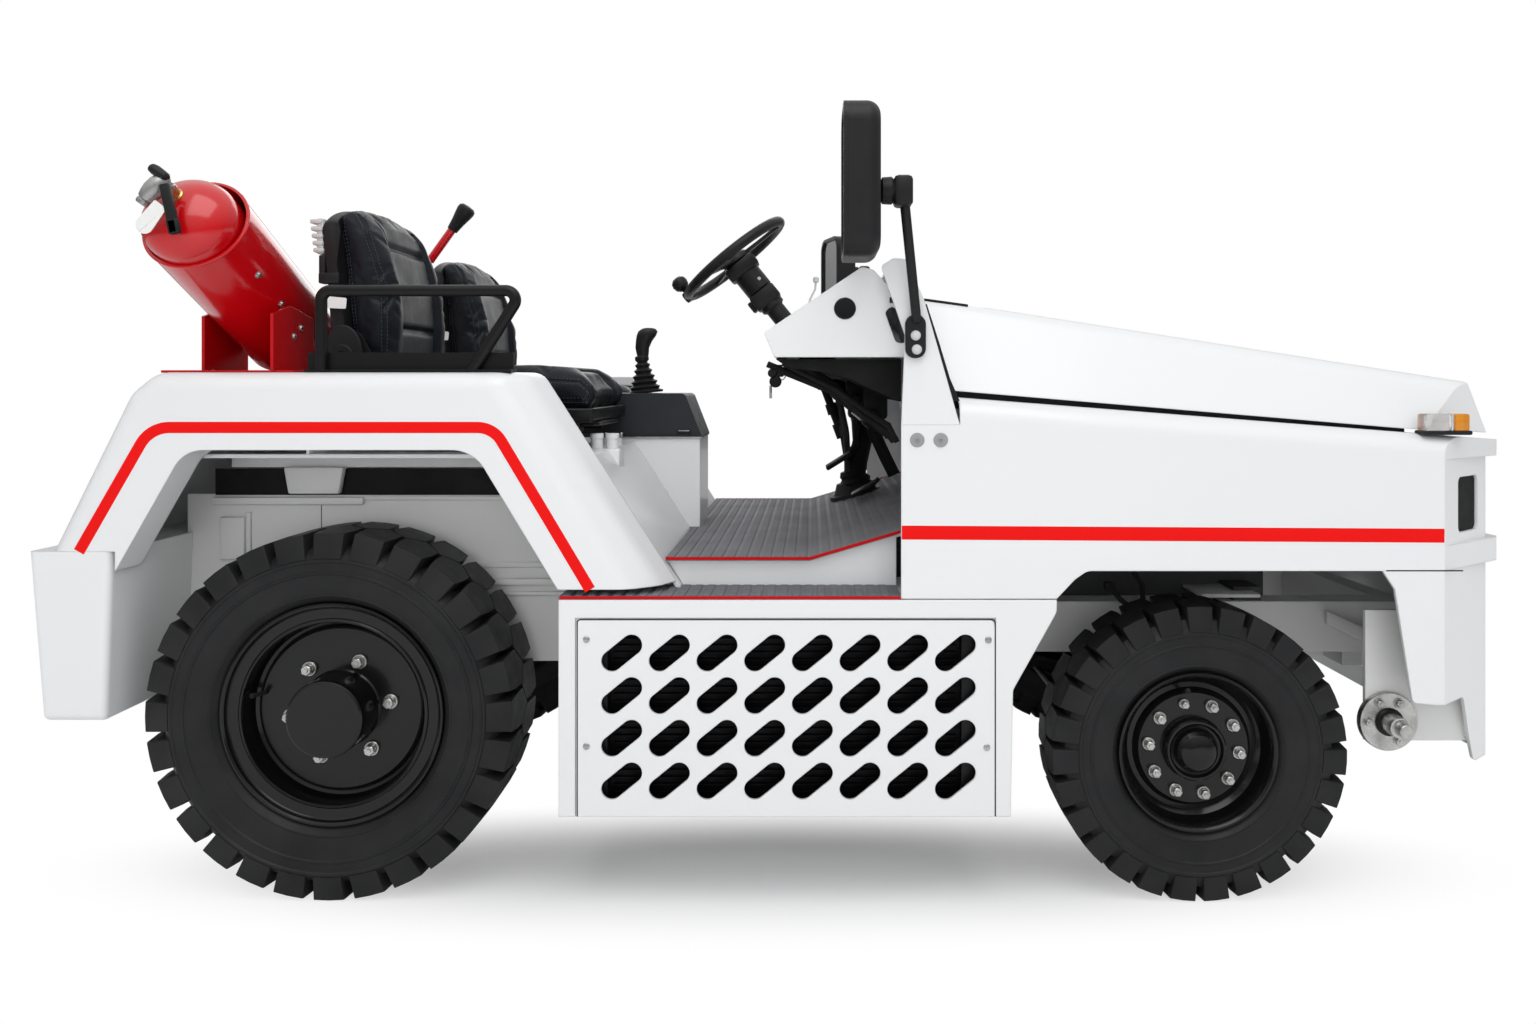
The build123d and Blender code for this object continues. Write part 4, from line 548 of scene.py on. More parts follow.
    def loft(self, rings: Sequence[Sequence[Vector]]) -> None:
        """Skin closed rings of equal counts one after another, with both ends capped.

        Args:
            rings: Points of each ring in order.
        """
        made = []
        for ring in rings:
            verts = [self.bm.verts.new(point) for point in ring]
            count = len(verts)
            edges = [self.bm.edges.new((verts[k], verts[(k + 1) % count])) for k in range(count)]
            made.append((verts, edges))
        for (one, _), (two, _) in zip(made, made[1:]):
            count = len(one)
            for k in range(count):
                self.bm.faces.new((one[k], one[(k + 1) % count], two[(k + 1) % count], two[k]))
        for _, edges in (made[0], made[-1]):
            bmesh.ops.edgeloop_fill(self.bm, edges=edges)

    def tube(self, points: Sequence[Sequence[float]], radius: float, steps: int = 12) -> None:
        """Round tube swept along the points, capped at both ends.

        Args:
            points: Middle line.
            radius: Radius of the tube.
            steps: Segments round it.
        """
        path = [Vector(p) for p in points]
        rings = []
        side = path[0].orthogonal()
        for number, point in enumerate(path):
            ahead = (path[min(number + 1, len(path) - 1)] - path[max(number - 1, 0)]).normalized()
            if not number:
                side = ahead.orthogonal()
            side = (side - ahead * side.dot(ahead)).normalized()
            rings.append(hoop(point, side * radius, ahead.cross(side) * radius, steps))
        self.loft(rings)

    def mirror_y(self) -> None:
        """Add a copy of everything on the other side of the tug."""
        geom = self.bm.verts[:] + self.bm.edges[:] + self.bm.faces[:]
        new = bmesh.ops.duplicate(self.bm, geom=geom)["geom"]
        verts = [v for v in new if isinstance(v, bmesh.types.BMVert)]
        bmesh.ops.scale(self.bm, verts=verts, vec=(1, -1, 1))
        bmesh.ops.reverse_faces(self.bm, faces=[f for f in new if isinstance(f, bmesh.types.BMFace)])

    def mesh(self, name: str, smooth: float = 0.0) -> bpy.types.Mesh:
        """Close the work and write the mesh in metres.

        Args:
            name: Name of the mesh.
            smooth: Edges flatter than this angle in degrees are shaded smooth, or 0 for none.

        Returns:
            The new mesh.
        """
        bmesh.ops.recalc_face_normals(self.bm, faces=self.bm.faces[:])
        bmesh.ops.scale(self.bm, vec=(MM, MM, MM), verts=self.bm.verts[:])
        if smooth:
            for face in self.bm.faces:
                face.smooth = True
            for edge in self.bm.edges:
                edge.smooth = len(edge.link_faces) == 2 and edge.calc_face_angle(0.0) < math.radians(smooth)
        mesh = bpy.data.meshes.new(name)
        self.bm.to_mesh(mesh)
        self.bm.free()
        return mesh

    def finish(self, name: str, finish: Finish, body: Body = Body.CHASSIS,
               smooth: float = 32.0) -> bpy.types.Object:
        """Turn the mesh into an object that rides on a body.

        Args:
            name: Name of the piece.
            finish: Its finish.
            body: Body that it rides on.
            smooth: Edges flatter than this angle in degrees are shaded smooth.

        Returns:
            The new object.
        """
        return mounted(linked(name, self.mesh(name, smooth)), finish, body)


def finish_all(*rows: tuple[Piece, str, Finish], mirrored: bool = False) -> None:
    """Finish pieces of the chassis.

    Args:
        *rows: Piece, name and finish of each.
        mirrored: True adds a copy on the other side of the tug first.
    """
    for piece, name, finish in rows:
        if mirrored:
            piece.mirror_y()
        piece.finish(name, finish)


def linked(name: str, data: bpy.types.ID) -> bpy.types.Object:
    """New object of that data in the scene.

    Args:
        name: Name of the object.
        data: Its mesh, lamp or camera.

    Returns:
        The object.
    """
    made = bpy.data.objects.new(name, data)
    bpy.context.scene.collection.objects.link(made)
    return made


def mounted(made: bpy.types.Object, finish: Finish, body: Body = Body.CHASSIS) -> bpy.types.Object:
    """Give an object its finish and let it ride on a body.

    Args:
        made: The object.
        finish: Its finish.
        body: Body that it rides on.

    Returns:
        The same object.
    """
    made.data.materials.append(finish.material())
    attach(made, body.value)
    return made


def clamp(value: float) -> float:
    """The value, kept between 0 and 1."""
    return min(1.0, max(0.0, value))


def circle(radius: float, steps: int, shift: float = 0.0, start: float = 0.0) -> list[Flat]:
    """Points of a flat circle whose middle is shifted along X, from the start angle in degrees."""
    turns = (math.radians(start) + math.tau * k / steps for k in range(steps))
    return [(shift + radius * math.cos(a), radius * math.sin(a)) for a in turns]


def hoop(centre: Sequence[float], across: Vector, up: Vector, steps: int) -> list[Vector]:
    """Points of the ellipse about a centre with those two half axes."""
    turns = (math.tau * k / steps for k in range(steps))
    return [Vector(centre) + across * math.cos(a) + up * math.sin(a) for a in turns]


def placed(at: Point, degrees: float, axis: str = "X") -> Matrix:
    """Matrix at a point, turned about one axis."""
    return Matrix.Translation(at) @ Matrix.Rotation(math.radians(degrees), 4, axis)


def along(start: Sequence[float], end: Sequence[float]) -> Matrix:
    """Matrix that puts local Z from start towards end."""
    ahead = (Vector(end) - Vector(start)).normalized()
    return Matrix.Translation(Vector(start)) @ ahead.to_track_quat("Z", "Y").to_matrix().to_4x4()


def upright(origin: Sequence[float], side: Side) -> Matrix:
    """Matrix that puts local X along +X, local Y up and local Z out of the given side.

    Args:
        origin: Where the matrix stands.
        side: Side that local Z points to.

    Returns:
        The matrix.
    """
    across = Vector((1, 0, 0)) * (1 if side is Side.RIGHT else -1)
    rows = (across, Vector((0, 0, 1)), Vector((0, side.value, 0)))
    return Matrix.Translation(Vector(origin)) @ Matrix(rows).transposed().to_4x4()


def rounded(points: Sequence[Flat], radii: dict[int, float], steps: int = 8) -> list[Flat]:
    """Outline with arcs in place of the numbered corners.

    Args:
        points: Corners of the outline or line.
        radii: Arc radius by corner number.
        steps: Segments of each arc.

    Returns:
        The new points in order.
    """
    out: list[Flat] = []
    count = len(points)
    for number, corner in enumerate(points):
        if number not in radii:
            out.append(tuple(corner))
            continue
        here = Vector(corner)
        back = (Vector(points[number - 1]) - here).normalized()
        ahead = (Vector(points[(number + 1) % count]) - here).normalized()
        half = back.angle(ahead) / 2
        reach = radii[number] / math.tan(half)
        centre = here + (back + ahead).normalized() * (radii[number] / math.sin(half))
        start = here + back * reach - centre
        end = here + ahead * reach - centre
        turn = start.angle_signed(end)
        for step in range(steps + 1):
            arm = start.copy()
            arm.rotate(Matrix.Rotation(-turn * step / steps, 2))
            out.append(tuple(centre + arm))
    return out


def dress(nodes: str, finish: Finish) -> None:
    """Give the CAD nodes, named in one string, a finish.

    Args:
        nodes: Names with spaces between them.
        finish: Their finish.
    """
    for node in nodes.split():
        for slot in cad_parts[node].material_slots:
            slot.material = finish.material()


# ---------------------------------------------------------------- stage
@dataclass
class Stage:
    """Floor, lamps, world and camera.

    Attributes:
        eye: Camera position in metres.
        lens: Focal length on a 36 mm sensor.
        shift: Camera shift, across and up.
        ambient: World strength.
        mirrored: Strength of the world in reflections, level with the eye and high up.
        pool: Middle, in X and Y, in metres, of the ellipse inside which the floor's lit shading and the tug's
            real shadow show; the ellipse's outline is painted shadow.
        pool_reach: Half length and half width of that ellipse, in metres.
    """

    eye: Point = (0.050, -2.670, 0.985)
    lens: float = 25.3125
    shift: Flat = (-0.0293, -0.0827)
    ambient: float = 0.70
    mirrored: Flat = (0.14, 1.25)
    pool: Flat = (-0.02, -0.455)
    pool_reach: Flat = (1.58, 0.35)

    def build(self) -> None:
        """Make the floor, the lamps, the world and the camera."""
        self.floor()
        self.world()
        self.lamp("key", (0.2, -2.6, 4.4), (0.0, -0.1, 0.6), 3.2, 64)
        self.lamp("front", (0.2, -6.5, 1.5), (0.0, 0.0, 0.6), 5.0, 112, glossy=False)
        self.lamp("rear", (-0.5, 4.5, 3.2), (0.0, 0.0, 0.6), 4.0, 80)
        self.camera()

    def lamp(self, name: str, at: Point, aim: Point, size: float, power: float,
             glossy: bool = True) -> None:
        """Square area lamp that isn't seen directly, and is reflected only if glossy.

        Args:
            name: Name of the lamp.
            at: Its place in metres.
            aim: Point that it faces, in metres.
            size: Length of its side in metres.
            power: Its power in watts.
            glossy: True for a lamp that shows in reflections.
        """
        data = bpy.data.lights.new(name, "AREA")
        data.shape, data.size, data.energy = "SQUARE", size, power
        lamp = linked(name, data)
        lamp.location = at
        lamp.rotation_mode = "QUATERNION"
        lamp.rotation_quaternion = (Vector(aim) - Vector(at)).to_track_quat("-Z", "Y")
        lamp.visible_camera = False
        lamp.visible_glossy = glossy

    def floor(self) -> None:
        """Pale floor whose lit shading, with the tug's real shadow in it, shows only inside an ellipse on the
        right side and fades into white glow around it, so the shadow's outline is painted.
        """
        bm = bmesh.new()
        bmesh.ops.create_grid(bm, x_segments=1, y_segments=1, size=14)
        mesh = bpy.data.meshes.new("floor")
        bm.to_mesh(mesh)
        bm.free()
        shader = Shader("floor_pale")
        shader.set(Base_Color=(0.86, 0.86, 0.86, 1), Roughness=0.9, Specular_IOR_Level=0.0)
        across = [1 / reach for reach in self.pool_reach]
        flat = shader.node("Mapping", {"Vector": shader.place, "Scale": (*across, 0.0),
                                       "Location": (-self.pool[0] * across[0], -self.pool[1] * across[1], 0)})
        reach = shader.node("VectorMath", {0: flat}, "Value", operation="LENGTH")
        # Painted shadow, in part: inside this ellipse the camera sees the floor's lit shading, real shadow
        # included. Outside it the floor glows white, so the mask sets the pool's outline.
        fade = shader.node("MapRange", {"Value": reach, "From Min": 0.2, "From Max": 1.0,
                                        "To Min": 0.12, "To Max": 1.0}, interpolation_type="SMOOTHSTEP")
        glow = shader.node("Emission", {"Color": (1, 1, 1, 1), "Strength": 1.0})
        shader.output("Material", shader.node("MixShader", {
            0: shader.math("MULTIPLY", fade, shader.seen()), 1: shader.bsdf.outputs[0], 2: glow}))
        mesh.materials.append(shader.material)
        linked("floor", mesh)

    def world(self) -> None:
        """White world, softer for the light that it gives than for what is seen of it."""
        world = bpy.data.worlds.new("studio")
        bpy.context.scene.world = world
        tree = Tree(world)
        up = tree.node("SeparateXYZ", {0: tree.node("TexCoord", {}, "Generated")}, "Z")
        level, high = self.mirrored
        rise = tree.node("MapRange", {"Value": up, "From Max": 0.8, "To Min": level, "To Max": high})
        light = tree.node("Background", {"Color": (0.97, 0.985, 1, 1), "Strength": self.ambient})
        gloss = tree.node("Background", {"Strength": rise})
        given = tree.node("MixShader", {0: tree.node("LightPath", {}, "Is Glossy Ray"), 1: light, 2: gloss})
        white = tree.node("Background", {"Color": (1, 1, 1, 1)})
        tree.output("World", tree.node("MixShader", {0: tree.seen(), 1: given, 2: white}))

    def camera(self) -> None:
        """Camera level with the dash, square to the tug's right side."""
        data = bpy.data.cameras.new("camera")
        data.lens, data.sensor_width = self.lens, 36
        data.shift_x, data.shift_y = self.shift
        camera = linked("camera", data)
        camera.location = self.eye
        camera.rotation_euler = (math.pi / 2, 0, 0)
        bpy.context.scene.camera = camera
        bpy.context.scene.view_settings.view_transform = "Standard"


# ---------------------------------------------------------------- wheels
@dataclass
class Wheel:
    """A wheel: treaded tyre, rim, nuts and hub.

    Attributes:
        end: "front" or "rear".
        side: Side of the tug.
        centre: Centre of the wheel.
        radius: Tyre radius over the lugs.
        half: Half the tyre's width.
        lugs: Lugs on each shoulder.
        root: Radius at which the lugs meet the sidewall.
        rim_r: Radius of the bead seat.
        rim: Closed profile of the rim and hub, radius and distance outward.
        nuts: Turn in degrees and size share of each wheel nut.
        nut_circle: Radius of the nut circle and its distance outward.
        nut_r: Washer radius of a wheel nut.
        valve: Turn in degrees and radius of the valve.
    """

    end: str
    side: Side
    centre: Point
    radius: float
    half: float
    lugs: int
    root: float
    rim_r: float
    rim: list[Flat]
    nuts: list[Flat]
    nut_circle: Flat
    nut_r: float
    valve: Flat

    @property
    def body(self) -> Body:
        """Body that the wheel rides on."""
        return Body(f"{self.end}_wheel_{self.side.word}")

    def matrix(self) -> Matrix:
        """Local Z out of the side, local Y up."""
        return upright(self.centre, self.side)

    def carcass(self) -> list[Flat]:
        """Profile of the tyre under its lugs, from inner bead to outer bead.

        Returns:
            Points of radius and distance outward.
        """
        wall = self.root - self.rim_r
        half, groove = self.half, self.radius - 0.075 * self.radius
        side = [
            (self.rim_r + 1, 0.60 * half), (self.rim_r + 10, 0.64 * half), (self.rim_r + 11, 0.71 * half),
            (self.rim_r + 15, 0.765 * half), (self.rim_r + 0.22 * wall, 0.83 * half),
            (self.rim_r + 0.25 * wall, 0.865 * half), (self.rim_r + 0.275 * wall, 0.865 * half),
            (self.rim_r + 0.285 * wall, 0.855 * half), (self.rim_r + 0.42 * wall, 0.915 * half),
            (self.rim_r + 0.56 * wall, 0.948 * half), (self.rim_r + 0.68 * wall, 0.965 * half),
            (self.rim_r + 0.70 * wall, 0.99 * half), (self.rim_r + 0.73 * wall, 0.99 * half),
            (self.rim_r + 0.745 * wall, 0.967 * half), (self.root - 9, 0.97 * half),
            (self.root - 6, 0.998 * half), (self.root - 2, 0.998 * half), (self.root, 0.965 * half),
            (self.root + 4, 0.925 * half), (groove - 0.02 * self.radius, 0.80 * half), (groove, 0.6 * half),
            (groove, 0.0),
        ]
        return [(r, -y) for r, y in side] + side[-2::-1]

    def lug(self, piece: Piece, turn: float, out: int) -> None:
        """Add one lug.

        Args:
            piece: Mesh that receives it.
            turn: Angle of the lug round the tyre, in radians.
            out: 1 for the outer shoulder and -1 for the inner one.
        """
        pitch = math.tau * self.radius / self.lugs
        half = self.half
        plan = [(0.0, -0.13 * half), (0.435 * pitch, 0.14 * half), (0.435 * pitch, 0.48 * half),
                (0.375 * pitch, 0.90 * half), (0.0, 0.90 * half), (-0.375 * pitch, 0.90 * half),
                (-0.435 * pitch, 0.48 * half), (-0.435 * pitch, 0.14 * half)]
        crown = 0.006 * self.radius
        floor = self.radius * 0.915
        rings: list[list[bmesh.types.BMVert]] = []
        for level in (0, 1):
            ring = []
            for number, (arc, y) in enumerate(plan):
                shoulder = number in (3, 4, 5)
                r = self.radius - crown * (y / half) ** 2
                if level:
                    r = self.root if shoulder else floor
                    y = 0.985 * half if shoulder else y
                    arc *= 1.05
                ang = turn + arc / self.radius
                ring.append(piece.bm.verts.new((r * math.sin(ang), r * math.cos(ang), out * y)))
            rings.append(ring)
        top, foot = rings
        faces = [piece.bm.faces.new((top[0], top[1], top[2], top[3], top[4])),
                 piece.bm.faces.new((top[0], top[4], top[5], top[6], top[7]))]
        for k in range(8):
            faces.append(piece.bm.faces.new((top[k], top[(k + 1) % 8], foot[(k + 1) % 8], foot[k])))
        rim_edges = [e for e in {e for f in faces for e in f.edges}
                     if e.verts[0] in top and e.verts[1] in top and len(e.link_faces) == 2
                     and e.calc_face_angle(0.0) > 0.6]
        side_edges = [e for k in (3, 5) for e in top[k].link_edges if e.other_vert(top[k]) is foot[k]]
        bmesh.ops.bevel(piece.bm, geom=rim_edges + side_edges, offset=0.008 * self.radius, segments=2,
                        affect="EDGES", profile=0.5, material=-1, clamp_overlap=True)

    def tyre(self) -> None:
        """Carcass and lugs, in place of the CAD ring."""
        piece = Piece()
        piece.lathe(self.carcass(), Matrix(), 112)
        for out in (1, -1):
            for number in range(self.lugs):
                shift = 0.0 if out == 1 else 0.5
                self.lug(piece, math.tau * (number + shift) / self.lugs, out)
        piece.place(piece.bm.verts, self.matrix())
        tyre = piece.finish(f"tread_{self.end}_{self.side.word}", TYRE, self.body, 28)
        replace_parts(tyre, f"{self.end}_tyre_{self.side.word}")

    def hub(self) -> None:
        """Rim with its disc and hub, in place of the CAD rim."""
        piece = Piece()
        piece.lathe(self.rim, self.matrix(), 96, closed=True)
        rim = piece.finish(f"disc_{self.end}_{self.side.word}", RIM_BLACK, self.body, 24)
        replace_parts(rim, f"{self.end}_rim_{self.side.word}")

    def fittings(self) -> None:
        """Wheel nuts on their studs, and the valve."""
        nuts, matrix = Piece(), self.matrix()
        radius, out = self.nut_circle
        normal = Vector((0, self.side.value, 0))
        for turn, share in self.nuts:
            a = math.radians(turn if self.side is Side.RIGHT else 180 - turn)
            at = matrix @ Vector((radius * math.cos(a), radius * math.sin(a), out))
            washer = self.nut_r * share
            nuts.lathe([(0, 0), (washer, 0), (washer, 4), (washer * 0.93, 5), (washer * 0.8, 5),
                        (washer * 0.72, 9), (0, 9)], along(at, at + normal), 28)
            nuts.bolt(at + normal * 8, normal, washer * 1.5, 11 * share, turn * 1.7)
        nuts.finish(f"nuts_{self.end}_{self.side.word}", ZINC, self.body)
        stem = Piece()
        a, radius = math.radians(self.valve[0]), self.valve[1]
        foot = Vector((radius * math.cos(a), radius * math.sin(a), out))
        tip = Vector(((radius + 9) * math.cos(a), (radius + 9) * math.sin(a), out + 26))
        stem.rod(matrix @ foot, matrix @ tip, 4.2, 14, 1)
        stem.rod(matrix @ tip, matrix @ (tip + (tip - foot).normalized() * 9), 5.0, 14, 1)
        stem.finish(f"valve_{self.end}_{self.side.word}", SEAL, self.body)

    def build(self) -> None:
        """Make the whole wheel."""
        self.tyre()
        self.hub()
        self.fittings()
        LOG.info("%s wheel, %s side", self.end, self.side.word)


REAR_RIM: list[Flat] = [
    (30.1, -90), (66, -90), (66, 20), (160, 20), (166, 10), (168, -20), (192, -58), (204, -74),
    (213, -78), (213, -70), (205, -62), (205, 62), (213, 68), (215, 73), (214, 77.5), (210.5, 78.5),
    (207, 76), (205, 71), (202, 68), (184, 67), (182.5, 69.5), (180, 71), (177, 70), (175, 66), (173.5, 40),
    (170, 28),
    (164, 25), (160, 30), (156, 32), (77, 33), (74, 36), (74, 104), (72.5, 108), (69, 110), (0.02, 110.5),
    (0.02, 100), (30.1, 100),
]
FRONT_RIM: list[Flat] = [
    (20.1, -28), (49, -28), (52, 16), (100, 16), (112, 4), (126, -8), (134, -44), (146, -58),
    (152, -60), (152, -52), (144, -46), (144, 46), (152, 51), (153.5, 55), (152, 59.5), (148, 60),
    (145, 57), (141.5, 50), (139, 38), (133, 22), (124, 14), (115, 15), (110, 24), (106, 28), (61, 28),
    (59.5, 30), (59, 44), (56, 48), (52, 48), (48, 42), (43, 41), (41, 44), (39, 53), (33, 61), (22, 67),
    (10, 69), (0.02, 69), (0.02, 40), (20.1, 40),
]


def wheels() -> list[Wheel]:
    """All four wheels.

    Returns:
        The rear and front wheel of each side.
    """
    made = []
    for side in Side:
        made.append(Wheel("rear", side, (-874, 522 * side.value, 352), 352, 98, 28, 303, 205, REAR_RIM,
                          [(8.1 + 60 * k, 1.0) for k in range(6)], (99, 33), 14.5, (168, 150)))
        front_nuts = [(-5.6 + 36 * k, 0.78 if k == 3 else 1.0) for k in range(10)]
        made.append(Wheel("front", side, (787, 548 * side.value, 282), 282, 72, 27, 233, 144, FRONT_RIM,
                          front_nuts, (88, 28), 12.5, (100, 110)))
    return made


# ---------------------------------------------------------------- soft goods
VOXEL = 5.5       # edge of a voxel in the remeshed pads
PRESSURE = 4.0    # cloth pressure that swells them
FRAMES = 20       # frames that they swell for


def shoulder(z: float, share: float) -> float:
    """Distance that the top of a backrest falls off, at a height and a share of its half width."""
    high = clamp((z - 1120) / 240)
    return high * high * (36 * share ** 2.6 - 12)


class SeamKind(Enum):
    """How a sewn line runs over a pad."""

    LENGTHWISE = "lengthwise"
    ACROSS = "across"
    SIDE = "side"


@dataclass(frozen=True)
class Seam:
    """A sewn line pressed into a pad.

    Attributes:
        kind: How the line runs.
        at: Distance from the pad's middle if lengthwise, station along the pad if across, and distance
            inside the side outline if on the side.
        reach: Lowest and highest station of the line, or its half width if across.
        depth: Depth of the groove.
        width: Half width of the groove.
        spread: Growth of at for each millimetre along the pad.
    """

    kind: SeamKind
    at: float
    reach: Flat
    depth: float = 4.0
    width: float = 5.0
    spread: float = 0.0


@dataclass
class Pad:
    """A stuffed seat part: a crowned form, swollen by cloth pressure and then sewn.

    Attributes:
        name: Name of the piece without its seat.
        outline: Side outline in X and Z on the passenger's seat.
        ahead: Direction that the pad faces, in X and Z.
        half: Half width.
        crown: Radius of the rounding along both sides.
        bolster: Height of the raised sides.
        valley: Distance from the middle at which the sides start and stop rising.
        start: Distance that the form starts smaller by.
        cap: Greatest movement in the swelling.
        seams: Lines sewn in afterwards.
    """

    name: str
    outline: list[Flat]
    ahead: Flat
    half: float
    crown: float
    bolster: float
    valley: Flat
    start: float
    cap: float
    seams: list[Seam]

    @property
    def flat(self) -> bool:
        """True for a pad that lies level, and False for one that stands."""
        return self.ahead[1] > 0.5

    def ring(self, y: float, inset: float) -> list[Vector]:
        """Points of the outline moved in by inset and out by the bolster, at distance y from the middle.

        Args:
            y: Distance from the pad's middle.
            inset: Distance that the outline moves in.

        Returns:
            The ring's points.
        """
        count = len(self.outline)
        points = [Vector(p) for p in self.outline]
        low, high = self.valley
        share = clamp((abs(y) - low) / (high - low))
        rise = self.bolster * share * share * (3 - 2 * share)
        made = []
        for number, point in enumerate(points):
            run = (points[(number + 1) % count] - points[number - 1]).normalized()
            inward = Vector((-run.y, run.x))
            facing = max(0.0, -inward.dot(Vector(self.ahead)))
            place = point + inward * inset + Vector(self.ahead) * (rise - self.bolster) * facing ** 2
            place.y -= self.dome(place.y, y)
            made.append(Vector((place.x, y, place.y)))
        return made

    def dome(self, z: float, y: float) -> float:
        """Distance that the top of an upright pad falls off towards its sides."""
        return 0.0 if self.flat else shoulder(z, abs(y / self.half))

    def rough(self) -> bpy.types.Object:
        """The form before it swells, standing about Y = 0.

        Returns:
            The form's object.
        """
        piece = Piece()
        even = self.half - self.start - self.crown
        stations = [(-even - self.crown * math.sin(a), self.crown * (1 - math.cos(a)))
                    for a in (math.pi / 2 * k / 6 for k in range(6, 0, -1))]
        stations += [(-even + 2 * even * k / 24, 0.0) for k in range(25)]
        stations += [(-y, inset) for y, inset in reversed(stations[:6])]
        piece.loft([self.ring(y, self.start + inset) for y, inset in stations])
        return linked(self.name, piece.mesh(self.name))

    @staticmethod
    def settle(form: bpy.types.Object) -> None:
        """Replace the object's mesh with its evaluated one and drop its modifiers.

        Args:
            form: The pad's object.
        """
        mesh = bpy.data.meshes.new_from_object(form.evaluated_get(bpy.context.evaluated_depsgraph_get()))
        form.modifiers.clear()
        form.data = mesh

    def swell(self, form: bpy.types.Object) -> None:
        """Remesh the form and let cloth pressure swell it, up to the cap.

        Args:
            form: The pad's object.
        """
        voxels = form.modifiers.new("voxels", "REMESH")
        voxels.mode, voxels.voxel_size = "VOXEL", VOXEL * MM
        self.settle(form)
        rest = [v.co.copy() for v in form.data.vertices]
        cloth = form.modifiers.new("cloth", "CLOTH")
        settings = cloth.settings
        settings.quality, settings.mass = 4, 0.3
        settings.use_pressure, settings.uniform_pressure_force = True, PRESSURE
        settings.effector_weights.gravity = 0.0
        cloth.point_cache.frame_start, cloth.point_cache.frame_end = 1, FRAMES
        scene = bpy.context.scene
        for number in range(1, FRAMES + 1):
            scene.frame_set(number)
        self.settle(form)
        scene.frame_set(1)
        for vert, origin in zip(form.data.vertices, rest):
            shift = vert.co - origin
            if shift.length > self.cap * MM:
                vert.co = origin + shift.normalized() * self.cap * MM

    def inside(self, x: float, z: float) -> float:
        """Distance from a point to the side outline.

        Args:
            x: Place along the tug.
            z: Height.

        Returns:
            The distance.
        """
        best = 1e9
        here = Vector((x, z))
        for number, corner in enumerate(self.outline):
            one, two = Vector(self.outline[number - 1]), Vector(corner)
            run = two - one
            share = clamp((here - one).dot(run) / run.length_squared)
            best = min(best, (here - one - run * share).length)
        return best

    def groove(self, seam: Seam, at: Vector, normal: Vector) -> float:
        """Depth that a seam presses in at a point with that normal.

        Args:
            seam: The seam.
            at: The point.
            normal: Normal of the surface there.

        Returns:
            The depth.
        """
        station = at.x if self.flat else at.z
        facing = normal.x * self.ahead[0] + normal.z * self.ahead[1]
        if seam.kind is SeamKind.SIDE:
            if abs(normal.y) < 0.35 or not seam.reach[0] < station < seam.reach[1]:
                return 0.0
            off = self.inside(at.x, at.z) - seam.at
        elif seam.kind is SeamKind.LENGTHWISE:
            if max(facing, normal.x) < 0.2 or not seam.reach[0] < station < seam.reach[1]:
                return 0.0
            off = abs(at.y) - seam.at - seam.spread * (station - seam.reach[0])
        else:
            if facing < 0.2 or abs(at.y) > seam.reach[1]:
                return 0.0
            off = station - seam.at
        return seam.depth * math.exp(-(off / seam.width) ** 2)

    def sew(self, form: bpy.types.Object) -> None:
        """Press the seams in and keep the pad inside its width.

        Args:
            form: The pad's object.
        """
        mesh = form.data
        normals = [vert.normal.copy() for vert in mesh.vertices]
        for vert, normal in zip(mesh.vertices, normals):
            at = vert.co / MM
            depth = max((self.groove(seam, at, normal) for seam in self.seams), default=0.0)
            at -= normal * depth
            at.y = min(self.half - 0.3, max(-self.half + 0.3, at.y))
            vert.co = at * MM
        mesh.update()

    def thread(self, form: bpy.types.Object) -> Piece:
        """Stitches on both sides of the side seams.

        Args:
            form: The pad's object.

        Returns:
            All the pad's stitches.
        """
        tree = BVHTree.FromObject(form, bpy.context.evaluated_depsgraph_get())
        piece = Piece()

        def stitch(points: list[Vector]) -> None:
            """Sew along a run of points."""
            for one, two in zip(points, points[1:]):
                piece.tube([one.lerp(two, 0.1), one.lerp(two, 0.7)], 0.75, 5)

        for seam in (s for s in self.seams if s.kind is SeamKind.SIDE):
            for shift in (-4.5, 4.5):
                spots = self.row(seam, seam.at + shift)
                for hand in (-1, 1):
                    line: list[Vector] = []
                    for spot in spots:
                        hit, normal, _, _ = tree.ray_cast(Vector((spot.x, hand * 400, spot.y)) * MM,
                                                          Vector((0, -hand, 0)))
                        if hit is None:
                            continue
                        point = hit / MM + normal * 0.35
                        if line and (point - line[-1]).length > 16:
                            stitch(line)
                            line = []
                        line.append(point)
                    stitch(line)
        return piece

    def row(self, seam: Seam, inset: float) -> list[Vector]:
        """Ends of a row's stitches in X and Z, at an inset from the side outline.

        Args:
            seam: The seam that the row follows.
            inset: Distance from the side outline.

        Returns:
            The ends in order.
        """
        spots = []
        count = len(self.outline)
        for number in range(count):
            one, two = Vector(self.outline[number]), Vector(self.outline[(number + 1) % count])
            run = (two - one).normalized()
            parts = max(1, round((two - one).length / 7.5))
            spots += [one.lerp(two, k / parts) + Vector((-run.y, run.x)) * inset for k in range(parts)]
        return [spot for spot in spots
                if seam.reach[0] + 8 < (spot.x if self.flat else spot.y) < seam.reach[1] - 8]

    def build(self) -> tuple[bpy.types.Mesh, bpy.types.Mesh]:
        """Make the pad once, about Y = 0.

        Returns:
            The meshes of the pad and of its stitches.
        """
        form = self.rough()
        levels = 2
        self.swell(form)
        levels = 1
        fine = form.modifiers.new("fine", "SUBSURF")
        fine.levels = fine.render_levels = levels
        self.settle(form)
        self.sew(form)
        sewn = self.thread(form).mesh(self.name + "_thread")
        pad = form.data
        bpy.data.objects.remove(form)
        return pad, sewn


